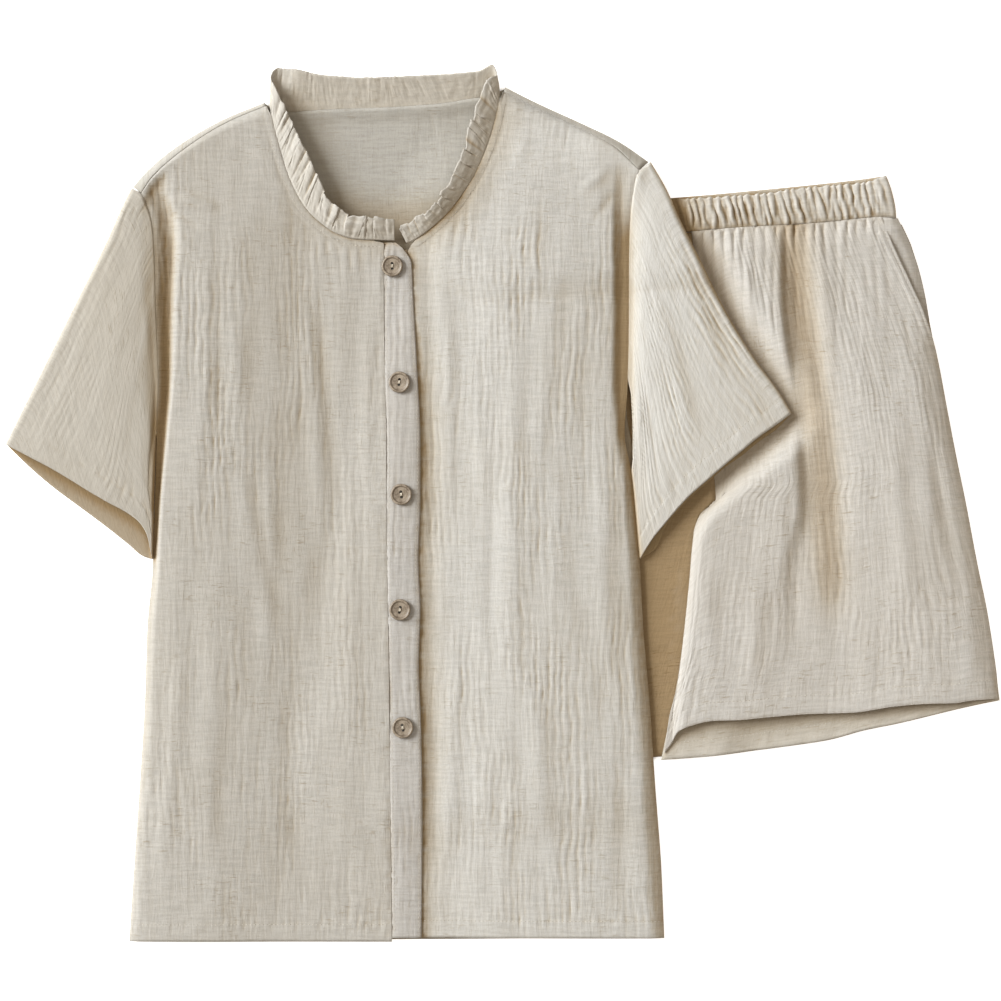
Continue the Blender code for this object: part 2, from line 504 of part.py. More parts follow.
# ---------------------------------------------------------------- panels as grids of mid-surface points
def front_right(u, v):
    left, right = track(FRONT_RIGHT, 1, v), track(FRONT_RIGHT, 3, v)
    bottom = left[0] + (right[0] - left[0]) * u[:, None]
    seam = track(SHOULDER_RIGHT, 1, u)
    seam = seam + (left[-1] - seam[0]) * (1 - u[:, None]) + (right[-1] - seam[-1]) * u[:, None]
    p = coons(bottom, seam, left, right)
    x, y = p[..., 0], p[..., 1]
    return np.dstack([x, y, support(x, y) + body_height(x, y) - WALL / 2])


def front_left(u, v):
    left, right = track(FRONT_LEFT, 3, v), track(FRONT_LEFT, 1, v)
    bottom = left[0] + (right[0] - left[0]) * u[:, None]
    seam = track(SHOULDER_LEFT, 1, 1.0 - u)
    seam = seam + (left[-1] - seam[0]) * (1 - u[:, None]) + (right[-1] - seam[-1]) * u[:, None]
    p = coons(bottom, seam, left, right)
    x, y = p[..., 0], p[..., 1]
    drop = PLACKET_DROP * (1.0 - smooth((x + 62.0) / 14.0)) * (1.0 - smooth((y - 205.0) / 25.0))
    return np.dstack([x, y, support(x, y) + body_height(x, y) - drop - WALL / 2])


def back_outline(v, side):
    """The back's side and armhole: the front's own edge, a little inside it, and out to the fold at the tip."""
    edge = track(FRONT_RIGHT if side < 0 else FRONT_LEFT, 1, v)
    edge[:, 0] -= side * 0.3
    tip = np.array(SHOULDER_RIGHT[0][3:5]) + (3.0, -2.0) if side < 0 else np.array(SHOULDER_LEFT[0][3:5]) + (-6.3, -2.6)
    reach = smooth((v - 0.975) / 0.025)[:, None]
    if side > 0:
        edge[:, 0] += 5.6 * np.exp(-(((edge[:, 1] - 48.0) / 20.0) ** 2))
    return edge + (tip - edge[-1]) * reach


def back_top(u_right, u_neck, u_left):
    """The top of the part of the back that lies flat: fold of the shoulder, neck, fold of the other shoulder."""
    right = track(SHOULDER_RIGHT, 3, u_right)
    left = track(SHOULDER_LEFT, 3, 1.0 - u_left)
    right = right + np.array((3.0, -2.0)) * (1.0 - 0.55 * u_right[:, None])
    left = left + np.array((-3.0, -2.0)) * (0.45 + 0.55 * u_left[:, None]) + (-3.3, -0.6) * u_left[:, None] ** 6
    neck = along(BACK_NECK, u_neck)
    return right, neck, left


def shirt_back(ur, un, ul, v, roll):
    """The flat part of the back as a grid, and the two rolled strips over the shoulders that join its top row."""
    n_right, n_neck = len(ur) - 1, len(un) - 1
    right, neck, left = back_top(ur, un, ul)
    neck = neck + (right[-1] - neck[0]) * (1 - un[:, None]) ** 6 + (left[0] - neck[-1]) * un[:, None] ** 6
    top = np.concatenate([right, neck[1:], left[1:]])
    lo, hi = back_outline(v, -1), back_outline(v, 1)
    lo = lo + (top[0] - lo[-1]) * smooth((v - 0.9) / 0.1)[:, None]
    hi = hi + (top[-1] - hi[-1]) * smooth((v - 0.9) / 0.1)[:, None]
    run = np.concatenate([[0.0], np.cumsum(np.linalg.norm(np.diff(top, axis=0), axis=1))])
    share = (run / run[-1])[:, None]
    bottom = lo[0] + (hi[0] - lo[0]) * share
    p = coons(bottom, top, lo, hi)
    x, y = p[..., 0], p[..., 1]
    flat = np.dstack([x, y, support(x, y) + WALL / 2])
    strips = []
    for table, columns, shares in ((SHOULDER_RIGHT, slice(0, n_right + 1), ur), (SHOULDER_LEFT, slice(n_right + n_neck, None), 1.0 - ul)):
        seam, fold = track(table, 1, shares), track(table, 3, shares)
        outward = (fold - seam) / np.linalg.norm(fold - seam, axis=1)[:, None]
        seam = seam + outward * SEAM_GAP
        base = flat[-1, columns]
        floor = support(fold[:, 0], fold[:, 1])
        rows = []
        for share_out, rise in roll:
            # share_out: 0 at the flat part, 1 at the fold, 2 at the seam
            if share_out <= 1.0:
                xy = base[:, :2] + (fold - base[:, :2]) * share_out
            else:
                xy = fold + (seam - fold) * (share_out - 1.0)
            low = base[:, 2] + (floor + WALL / 2 - base[:, 2]) * min(share_out, 1.0)
            z = low + (SHOULDER_H - WALL) * rise
            rows.append(np.column_stack([xy, z]))
        strips.append((columns, np.array(rows)))
    return flat, strips


def sleeve(side, across_u, t):
    """The upper and the lower half of a sleeve, which share their two folded edges."""
    if side < 0:
        armhole, outer, inner = SLEEVE_RIGHT_ARMHOLE, SLEEVE_RIGHT_OUTER, SLEEVE_RIGHT_INNER
        cuffs, heights = (SLEEVE_RIGHT_CUFF_FRONT, SLEEVE_RIGHT_CUFF_BACK), SLEEVE_RIGHT_HEIGHTS
    else:
        armhole, outer, inner = SLEEVE_LEFT_ARMHOLE, SLEEVE_LEFT_OUTER, SLEEVE_LEFT_INNER
        cuffs, heights = (SLEEVE_LEFT_CUFF_FRONT, SLEEVE_LEFT_CUFF_BACK), SLEEVE_LEFT_HEIGHTS
    rows = np.array(heights)
    halves = []
    for upper, cuff in ((True, cuffs[0]), (False, cuffs[1])):
        p = coons(along(armhole, across_u), along(cuff, across_u), along(outer, t), along(inner, t))
        x, y = p[..., 0], p[..., 1]
        width = np.linalg.norm(np.diff(p, axis=1), axis=2).sum(axis=1)[:, None]
        near = np.minimum(across_u[None, :], 1.0 - across_u[None, :]) * width
        roll = np.sqrt(1.0 - (1.0 - np.clip(near / SLEEVE_EDGE_R, 0.0, 1.0)) ** 2)
        at = [monotone(t, rows[:, 0], rows[:, i])[:, None] for i in range(1, 6)]
        table = np.stack(np.broadcast_arrays(*[a + 0.0 * across_u[None, :] for a in at]), axis=-1)
        top = monotone(across_u[None, :] + 0.0 * table[..., 0], (0.0, 0.25, 0.5, 0.75, 1.0), table)
        bed = support(x, y)
        fold = 0.45 * np.minimum(top, 8.0)
        if upper:
            z = bed + fold + (top - WALL / 2 - fold) * roll
        else:
            z = bed + WALL / 2 + (fold - WALL / 2) * (1.0 - roll)
        halves.append(np.dstack([x, y, z]))
    return halves


def placket(v, u, top):
    """The right placket, on top, or the left one under it."""
    rows = np.array(PLACKET)
    y_top = 208.4 if top else 203.0
    y = -347.4 + (y_top + 347.4) * v
    a = monotone(y, rows[:, 0], rows[:, 1])
    b = monotone(y, rows[:, 0], rows[:, 2])
    if not top:
        seam = np.array(FRONT_LEFT)
        a = a + 1.4
        b = monotone(np.minimum(y, 199.0), seam[:, 4], seam[:, 3]) - SEAM_GAP
    x = a[:, None] + (b - a)[:, None] * u[None, :]
    y = np.broadcast_to(y[:, None], x.shape)
    rise = PLACKET_RISE if top else -PLACKET_DROP
    return np.dstack([x, y, support(x, y) + body_height(x, y) + rise - PLACKET_WALL / 2])


def ruffle(s, w, pleat):
    """The neck frill at s round the neck and w from its seam (0) to its free edge (1)."""
    rows = np.array(RUFFLE)
    base = np.stack([monotone(s, rows[:, 0], rows[:, i]) for i in (1, 2, 3)], axis=-1)
    edge = np.stack([monotone(s, rows[:, 0], rows[:, i]) for i in (4, 5, 6)], axis=-1)
    lift = support(base[:, 0], base[:, 1])
    base[:, 2] += lift
    edge[:, 2] += lift
    p = base[None] + (edge - base)[None] * w[:, None, None]
    p[..., 2] += pleat[None, :] * w[:, None]
    return p


def shorts_left_front(u, v):
    left, right = track(SHORTS_LEFT_FRONT, 1, v), track(SHORTS_LEFT_FRONT, 3, v)
    hem = along(LEG_HEM_FRONT, u)
    waist = along(WAIST_SEAM[2:9], u) + (0.0, -0.5)
    waist = waist + (left[-1] - waist[0]) * (1 - u[:, None]) + (right[-1] - waist[-1]) * u[:, None]
    p = coons(hem, waist, left, right)
    x, y = p[..., 0], p[..., 1]
    return np.dstack([x, y, leg_height(x, y) - WALL / 2])


def shorts_left_back(u, v):
    left, right = track(SHORTS_LEFT_BACK, 1, v), track(SHORTS_LEFT_BACK, 3, v)
    hem = along(LEG_HEM_BACK, u)
    waist = along(WAIST_SEAM[2:], u) + (0.0, -0.8)
    waist = waist + (left[-1] - waist[0]) * (1 - u[:, None]) + (right[-1] - waist[-1]) * u[:, None]
    p = coons(hem, waist, left, right)
    x, y = p[..., 0], p[..., 1]
    return np.dstack([x, y, leg_support(x, y) + WALL / 2])


def shorts_right(u, v, front):
    left, right = track(SHORTS_RIGHT, 1, v), track(SHORTS_RIGHT, 3, v)
    if front:
        # the slant of the pocket mouth cuts the front's upper outer corner
        cut = np.clip((v - 0.86) / 0.14, 0.0, 1.0)
        left = left + np.stack([11.4 * cut, 0.6 * cut], axis=-1)
    hem = left[0] + (right[0] - left[0]) * u[:, None]
    waist = along(WAIST_SEAM[:3], u) + (0.0, -0.5)
    waist = waist + (left[-1] - waist[0]) * (1 - u[:, None]) + (right[-1] - waist[-1]) * u[:, None]
    p = coons(hem, waist, left, right)
    x, y = p[..., 0], p[..., 1]
    if not front:
        y = y - 1.2 * (1.0 - smooth((y + 215.0) / 20.0))
    z = np.full(x.shape, WALL / 2 + (WALL + LAYER_GAP if front else 0.0))
    return np.dstack([x, y, z])


def pocket(table, u, v, level):
    left, right = track(table, 1, v), track(table, 3, v)
    x = left[:, None, 0] + (right - left)[:, None, 0] * u[None, :]
    y = left[:, None, 1] + (right - left)[:, None, 1] * u[None, :]
    return np.dstack([x, y, np.full(x.shape, level + WALL / 2)])


def waistband(u, v, gather):
    """The upper and the lower half of the waistband, which share its two ends."""
    halves = []
    for upper, top in ((True, BAND_TOP_FRONT), (False, BAND_TOP_BACK)):
        p = coons(along(WAIST_SEAM, u), along(top, u), along(BAND_RIGHT_END, v), along(BAND_LEFT_END, v))
        x, y = p[..., 0], p[..., 1]
        length = np.linalg.norm(np.diff(p, axis=1), axis=2).sum(axis=1)[:, None]
        near = np.minimum(u[None, :], 1.0 - u[None, :]) * length
        roll = np.sqrt(1.0 - (1.0 - np.clip(near / 3.0, 0.0, 1.0)) ** 2)
        free = smooth(outside(x, y, SHIRT_OUTLINE) / 14.0)
        middle = 1.0 - (2.0 * v[:, None] - 1.0) ** 2
        top_z = BAND_STACK - LAYER_GAP - BAND_GATHER_H - BAND_WALL / 2 + free * (2.4 + 1.2 * middle)
        low_z = BAND_WALL / 2
        fold = 0.5 * (top_z + low_z)
        if upper:
            z = fold + (top_z - fold) * roll + gather[None, :] * roll * (0.45 + 0.55 * free)
        else:
            z = low_z + (fold - low_z) * (1.0 - roll)
        halves.append(np.dstack([x, y, z]))
    return halves


# ---------------------------------------------------------------- meshes
def material(name, colour, roughness):
    made = bpy.data.materials.new(name)
    made.use_nodes = True
    shader = made.node_tree.nodes["Principled BSDF"]
    shader.inputs["Base Color"].default_value = (*colour, 1.0)
    shader.inputs["Roughness"].default_value = roughness
    shader.inputs["Metallic"].default_value = 0.0
    made.diffuse_color = (*colour, 1.0)
    return made


def grid_quads(rows, columns, closed=False):
    """Quads of a grid of points stored row by row, facing up when columns run along +X and rows along +Y."""
    wrap = columns if closed else columns - 1
    return [
        (i * columns + j, i * columns + (j + 1) % columns, (i + 1) * columns + (j + 1) % columns, (i + 1) * columns + j)
        for i in range(rows - 1)
        for j in range(wrap)
    ]


def slab(name, points, quads, wall, colour, flip=False):
    """A sheet through the points, made a closed wall of cloth on both sides of them by its Solidify modifier."""
    bm = bmesh.new()
    vertices = [bm.verts.new(p) for p in (np.asarray(points, float) * MM).tolist()]
    for quad in quads:
        corners = [vertices[int(i)] for i in quad]
        bm.faces.new(corners[::-1] if flip else corners)
    bm.normal_update()
    mesh = bpy.data.meshes.new(name)
    bm.to_mesh(mesh)
    bm.free()
    mesh.shade_smooth()
    made = bpy.data.objects.new(name, mesh)
    mesh.materials.append(material(name, colour, 0.95))
    bpy.context.scene.collection.objects.link(made)
    cloth = made.modifiers.new("wall", "SOLIDIFY")
    cloth.thickness = wall * MM
    cloth.offset = 0.0
    cloth.use_even_offset = False
    cloth.use_rim = True
    return made


def grid_slab(name, grid, wall, colour, flip=False):
    rows, columns = grid.shape[:2]
    return slab(name, grid.reshape(-1, 3), grid_quads(rows, columns), wall, colour, flip)


def tube_slab(name, upper, lower, wall, colour, flip=False):
    """A flat tube from its upper and lower halves, whose first and last columns are shared."""
    ring = np.concatenate([upper, lower[:, -2:0:-1]], axis=1)
    rows, columns = ring.shape[:2]
    return slab(name, ring.reshape(-1, 3), grid_quads(rows, columns, closed=True), wall, colour, flip)


def button(name, x, y):
    """A turned button with a rim, a dished middle and two holes, lying on the placket and tilted with it."""
    turn = np.linspace(0.0, 2.0 * math.pi, 16, endpoint=False)
    bx = x + np.concatenate([BUTTON_R * np.cos(turn), [0.0]])
    by = y + np.concatenate([BUTTON_R * np.sin(turn), [0.0]])
    under = support(bx, by) + body_height(bx, by)
    slope_x, slope_y, _ = np.linalg.lstsq(np.column_stack([bx - x, by - y, np.ones(len(bx))]), under, rcond=None)[0]
    z = float((under - slope_x * (bx - x) - slope_y * (by - y)).max())
    rim = BUTTON_R - BUTTON_RIM
    profile = (
        (0.0, 0.0), (BUTTON_R - 1.2, 0.0), (BUTTON_R - 0.3, 0.5), (BUTTON_R, 1.2), (BUTTON_R - 0.3, BUTTON_H - 0.4),
        (rim + 0.6, BUTTON_H), (rim, BUTTON_H - BUTTON_DISH), (0.0, BUTTON_H - BUTTON_DISH),
    )
    bm = bmesh.new()
    rings = []
    for r, h in profile:
        if r == 0.0:
            rings.append([bm.verts.new((0.0, 0.0, h * MM))])
        else:
            rings.append([
                bm.verts.new((r * MM * math.cos(2 * math.pi * k / BUTTON_SEGMENTS), r * MM * math.sin(2 * math.pi * k / BUTTON_SEGMENTS), h * MM))
                for k in range(BUTTON_SEGMENTS)
            ])
    for low, high in zip(rings, rings[1:]):
        for k in range(BUTTON_SEGMENTS):
            n = (k + 1) % BUTTON_SEGMENTS
            if len(low) == 1:
                bm.faces.new((low[0], high[n], high[k]))
            elif len(high) == 1:
                bm.faces.new((low[k], low[n], high[0]))
            else:
                bm.faces.new((low[k], low[n], high[n], high[k]))
    mesh = bpy.data.meshes.new(name)
    bm.to_mesh(mesh)
    bm.free()
    made = bpy.data.objects.new(name, mesh)
    made.location = (x * MM, y * MM, (z + PLACKET_RISE + LAYER_GAP) * MM)
    made.rotation_euler = (math.atan(slope_y), -math.atan(slope_x), 0.0)
    mesh.materials.append(material(name, BUTTON_COLOUR, 0.5))
    bpy.context.scene.collection.objects.link(made)
    for i, offset in enumerate((-0.5, 0.5)):
        cutter_mesh = bpy.data.meshes.new(f"{name}_hole_{i}")
        bm = bmesh.new()
        bmesh.ops.create_cone(
            bm, cap_ends=True, segments=8, radius1=BUTTON_HOLE_R * MM, radius2=BUTTON_HOLE_R * MM, depth=4 * BUTTON_H * MM
        )
        bm.to_mesh(cutter_mesh)
        bm.free()
        cutter = bpy.data.objects.new(f"{name}_hole_{i}", cutter_mesh)
        cutter.location = (x * MM, (y + offset * BUTTON_HOLE_SPAN) * MM, (z + PLACKET_RISE) * MM)
        cutter.hide_render = True
        cutter.display_type = "WIRE"
        bpy.context.scene.collection.objects.link(cutter)
        cut = made.modifiers.new(f"hole_{i}", "BOOLEAN")
        cut.operation = "DIFFERENCE"
        cut.solver = "EXACT"
        cut.object = cutter
    mesh.shade_smooth()
    mesh.set_sharp_from_angle(angle=math.radians(35))
    return made


def build():
    for obj in list(bpy.data.objects):
        bpy.data.objects.remove(obj, do_unlink=True)

    # Shirt fronts: columns close together where the cloth rolls over at the sides.
    u_right = np.array((0.0, 0.013, 0.04, 0.09, 0.19, 0.33, 0.5, 0.68, 0.85, 1.0))
    u_left = np.array((0.0, 0.03, 0.08, 0.2, 0.38, 0.56, 0.74, 0.86, 0.92, 0.96, 0.985, 1.0))
    v_front = np.array((0, 0.1, 0.16, 0.205, 0.28, 0.37, 0.46, 0.53, 0.6, 0.66, 0.72, 0.79, 0.85, 0.89, 0.92, 0.95, 0.975, 0.987, 1.0))
    grid_slab("shirt_front_right", front_right(u_right, v_front), WALL, CLOTH)
    grid_slab("shirt_front_left", front_left(u_left, v_front), WALL, CLOTH)

    v_back = np.array((0, 0.1, 0.16, 0.205, 0.28, 0.46, 0.6, 0.66, 0.72, 0.79, 0.85, 0.92, 0.96, 1.0))
    roll = ((0.7, 0.10), (1.0, 0.45), (1.0, 0.62), (1.35, 0.92), (2.0, 1.0))
    flat, strips = shirt_back(u_right, np.linspace(0.0, 1.0, 8), u_left, v_back, roll)
    points = [flat.reshape(-1, 3)]
    rows, columns = flat.shape[:2]
    quads = grid_quads(rows, columns)
    offset = rows * columns
    for where, strip in strips:
        top_row = np.arange((rows - 1) * columns, rows * columns)[where]
        index = np.vstack([top_row, offset + np.arange(strip.shape[0] * strip.shape[1]).reshape(strip.shape[:2])])
        for i in range(len(index) - 1):
            for j in range(index.shape[1] - 1):
                quads.append((index[i, j], index[i, j + 1], index[i + 1, j + 1], index[i + 1, j]))
        points.append(strip.reshape(-1, 3))
        offset += strip.shape[0] * strip.shape[1]
    slab("shirt_back", np.concatenate(points), quads, WALL, CLOTH_INSIDE)

    u_sleeve = np.array((0.0, 0.004, 0.02, 0.07, 0.2, 0.36, 0.54, 0.72, 0.86, 0.95, 0.985, 0.996, 1.0))
    t_sleeve = np.array((0.0, 0.05, 0.14, 0.28, 0.42, 0.56, 0.7, 0.85, 1.0))
    for side, name in ((-1, "shirt_sleeve_right"), (1, "shirt_sleeve_left")):
        upper, lower = sleeve(side, u_sleeve, t_sleeve)
        tube_slab(name, upper, lower, WALL, CLOTH, flip=side > 0)

    v_placket = np.linspace(0.0, 1.0, 23) ** 0.92
    u_placket = np.array((0.0, 0.5, 1.0))
    grid_slab("shirt_placket_right", placket(v_placket, u_placket, True), PLACKET_WALL, CLOTH)
    grid_slab("shirt_placket_left", placket(v_placket, u_placket, False), PLACKET_WALL, CLOTH)

    s = np.linspace(0.0, 1.0, 2 * RUFFLE_PLEATS + 1)
    pleat = RUFFLE_PLEAT_H * np.where(np.arange(len(s)) % 2 == 0, 1.0, -1.0)
    pleat *= 1.0 - 0.7 * np.exp(-(((s - 0.34) / 0.02) ** 2)) - 0.7 * np.exp(-(((s - 0.71) / 0.02) ** 2))
    pleat *= 1.0 - 0.45 * smooth((s - 0.36) / 0.03) * (1.0 - smooth((s - 0.68) / 0.03))
    grid_slab("shirt_neck_ruffle", ruffle(s, np.array((0.0, 0.5, 1.0)), pleat), RUFFLE_WALL, CLOTH)

    for i, (x, y) in enumerate(BUTTONS):
        button(f"shirt_button_{i + 1}", x, y)

    u_leg = np.array((0.0, 0.012, 0.04, 0.12, 0.21, 0.3, 0.38, 0.46, 0.54, 0.64, 0.75, 0.86, 0.94, 0.98, 1.0))
    v_leg = np.array((0, 0.1, 0.22, 0.36, 0.5, 0.6, 0.66, 0.71, 0.75, 0.79, 0.825, 0.86, 0.91, 0.95, 0.98, 1.0))
    grid_slab("shorts_front_left", shorts_left_front(u_leg, v_leg), WALL, CLOTH)
    u_low = np.array((0.0, 0.07, 0.14, 0.21, 0.3, 0.5, 0.75, 1.0))
    v_low = np.array((0, 0.15, 0.35, 0.5, 0.6, 0.66, 0.71, 0.79, 0.88, 0.95, 1.0))
    grid_slab("shorts_back_left", shorts_left_back(u_low, v_low), WALL, CLOTH_INSIDE)
    u_hidden = np.array((0.0, 0.3, 0.6, 0.85, 1.0))
    v_hidden = np.array((0, 0.2, 0.38, 0.48, 0.56, 0.63, 0.76, 0.88, 1.0))
    grid_slab("shorts_front_right", shorts_right(u_hidden, v_hidden, True), WALL, CLOTH)
    grid_slab("shorts_back_right", shorts_right(u_hidden, v_hidden, False), WALL, CLOTH_INSIDE)
    u_pocket, v_pocket = np.array((0.0, 0.5, 1.0)), np.array((0.0, 0.3, 0.6, 1.0))
    grid_slab("shorts_pocket_left", pocket(POCKET_LEFT, u_pocket, v_pocket, WALL + LAYER_GAP), WALL, CLOTH)
    grid_slab("shorts_pocket_right", pocket(POCKET_RIGHT, u_pocket, v_pocket, WALL + LAYER_GAP), WALL, CLOTH)

    count = 2 * BAND_GATHERS
    u_band = np.concatenate([(0.0, 0.002, 0.006), np.linspace(0.014, 0.984, count - 1), (0.994, 0.998, 1.0)])
    gather = np.zeros(len(u_band))
    gather[3:-3] = BAND_GATHER_H * np.where(np.arange(count - 1) % 2 == 0, 1.0, -1.0)
    gather[-9:] = 0.0
    upper, lower = waistband(u_band, np.array((0.0, 0.5, 1.0)), gather)
    keep = np.concatenate([(0, 1, 2), np.arange(3, len(u_band) - 3, 6), (len(u_band) - 3, len(u_band) - 2, len(u_band) - 1)])
    tube_slab("shorts_waistband", upper, lower[:, keep], BAND_WALL, CLOTH)


build()
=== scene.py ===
"""The looks of a short pyjama set of undyed double gauze, laid flat: the shirt lies on top of the shorts.

The panels repeat the model's own sizes, in millimetres, on a fine grid, and add the hems, seams, gathers, creases
and the crinkle of the cloth. +X is right, +Y is up towards the neck, and +Z is away from the surface at z = 0.
"""

import math

import bmesh
import bpy
import numpy as np
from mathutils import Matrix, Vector


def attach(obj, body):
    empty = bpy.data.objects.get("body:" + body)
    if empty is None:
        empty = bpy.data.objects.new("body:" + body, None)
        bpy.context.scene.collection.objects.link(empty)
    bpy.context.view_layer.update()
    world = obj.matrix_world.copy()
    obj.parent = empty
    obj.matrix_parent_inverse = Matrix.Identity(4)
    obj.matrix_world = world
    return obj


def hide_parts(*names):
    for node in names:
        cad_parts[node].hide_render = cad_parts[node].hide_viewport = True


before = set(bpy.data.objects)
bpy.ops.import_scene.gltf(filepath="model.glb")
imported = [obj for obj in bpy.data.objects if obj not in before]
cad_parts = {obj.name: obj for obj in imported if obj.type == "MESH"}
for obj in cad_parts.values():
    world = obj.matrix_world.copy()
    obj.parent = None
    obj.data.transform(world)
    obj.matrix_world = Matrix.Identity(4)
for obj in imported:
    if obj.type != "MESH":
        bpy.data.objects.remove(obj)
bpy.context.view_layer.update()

MM = 0.001

# ---------------------------------------------------------------- named sizes
WALL = 1.2            # one layer of double gauze
PLACKET_WALL = 1.6    # the folded button stand
BAND_WALL = 1.6       # the waistband with its elastic
RUFFLE_WALL = 1.0
LAYER_GAP = 0.3       # between one layer and what it lies on
SEAM_GAP = 0.5        # between two pieces along a seam
SHORTS_STACK = 3.0    # height of the pressed shorts under the shirt, with the gap over them
BAND_STACK = 5.0      # height of the pressed waistband under the shirt, with the gap over it
DRAPE_REACH = 22.0    # a layer stays up this far past the edge of what it lies on
DRAPE_RAMP = 50.0     # and comes down over this width
PRESS_REACH = 18.0    # the shorts stay pressed flat this far past the shirt's edge
PRESS_RAMP = 26.0     # and rise to their own height over this width
SHOULDER_H = 9.0      # height of the front along the shoulder seam and the neck
PLACKET_RISE = 0.5    # the top placket stands this much over the front
PLACKET_DROP = 1.6    # the under placket and the left front pass this much lower

BUTTON_R = 8.6
BUTTON_H = 3.0
BUTTON_RIM = 1.5
BUTTON_DISH = 0.6
BUTTON_HOLE_R = 1.0
BUTTON_HOLE_SPAN = 3.6
BUTTON_SEGMENTS = 20

RUFFLE_PLEATS = 40
RUFFLE_PLEAT_H = 1.3
BAND_GATHERS = 40
BAND_GATHER_H = 0.7

CLOTH = (0.59, 0.55, 0.49)
CLOTH_INSIDE = (0.47, 0.42, 0.35)
BUTTON_COLOUR = (0.24, 0.18, 0.125)

# ---------------------------------------------------------------- tables, all in millimetres
# Shirt fronts. v runs from the hem (0) to the shoulder seam (1). The outer edge is the side and the armhole,
# the inner edge the placket seam and then the neck.
FRONT_RIGHT = (
    # v,     outer_x, outer_y, inner_x, inner_y
    (0.00, -299.0, -350.4, -89.0, -350.4),
    (0.10, -295.0, -290.0, -89.7, -290.0),
    (0.20, -290.5, -225.0, -90.5, -222.0),
    (0.30, -286.5, -160.0, -91.0, -155.0),
    (0.40, -284.5, -100.0, -92.0, -88.0),
    (0.48, -280.2, -50.0, -93.0, -34.0),
    (0.56, -279.0, 0.0, -93.2, 20.0),
    (0.65, -277.0, 58.4, -93.8, 82.0),
    (0.72, -275.6, 98.4, -95.0, 130.0),
    (0.80, -277.6, 155.0, -95.6, 180.0),
    (0.85, -278.4, 190.0, -95.6, 208.0),
    (0.89, -279.3, 212.0, -118.8, 209.6),
    (0.92, -281.0, 226.5, -140.0, 217.0),
    (0.95, -283.5, 235.5, -160.0, 235.5),
    (0.975, -286.0, 242.0, -176.0, 269.0),
    (0.985, -287.0, 244.5, -182.2, 292.0),
    (1.00, -288.5, 247.8, -188.2, 316.4),
)
FRONT_LEFT = (
    (0.00, 129.0, -348.0, -67.4, -347.2),
    (0.10, 126.5, -290.0, -67.4, -288.0),
    (0.20, 121.5, -225.0, -66.6, -222.0),
    (0.30, 117.0, -160.0, -68.0, -155.0),
    (0.40, 112.0, -100.0, -68.6, -88.0),
    (0.48, 109.2, -50.0, -69.4, -34.0),
    (0.56, 105.0, 0.0, -68.0, 20.0),
    (0.62, 102.4, 25.0, -68.4, 62.0),
    (0.66, 97.0, 55.0, -69.6, 90.0),
    (0.72, 99.5, 92.0, -72.0, 130.0),
    (0.80, 100.8, 150.0, -74.6, 178.0),
    (0.85, 100.8, 188.0, -76.0, 200.0),
    (0.89, 101.2, 214.0, -67.5, 210.0),
    (0.92, 102.2, 234.0, -54.5, 219.0),
    (0.95, 104.5, 252.0, -35.8, 239.0),
    (0.975, 106.3, 260.0, -17.6, 270.0),
    (0.985, 107.2, 263.0, -8.8, 292.0),
    (1.00, 108.2, 265.8, -0.6, 329.0),
)
# The shoulder seams on the front, and the fold of the back over the shoulder. t runs from the tip (0) to the neck (1).
SHOULDER_RIGHT = (
    # t,   seam_x, seam_y, fold_x, fold_y
    (0.00, -288.5, 247.8, -295.6, 253.0),
    (0.10, -282.0, 258.0, -287.8, 262.4),
    (0.35, -258.0, 280.0, -262.6, 284.0),
    (0.70, -220.5, 304.0, -222.8, 307.2),
    (1.00, -189.4, 317.2, -190.6, 320.4),
)
SHOULDER_LEFT = (
    (0.00, 108.2, 265.8, 115.8, 272.4),
    (0.20, 87.6, 285.4, 91.6, 289.2),
    (0.42, 62.8, 298.4, 65.2, 302.4),
    (0.75, 24.0, 317.0, 25.6, 320.6),
    (1.00, 0.6, 328.6, 1.6, 332.6),
)
BACK_NECK = (
    # x,      y
    (-187.8, 317.0),
    (-180.0, 311.5),
    (-168.0, 308.6),
    (-141.0, 311.6),
    (-104.0, 313.2),
    (-50.0, 316.8),
    (-22.0, 321.6),
    (-0.6, 328.6),
)
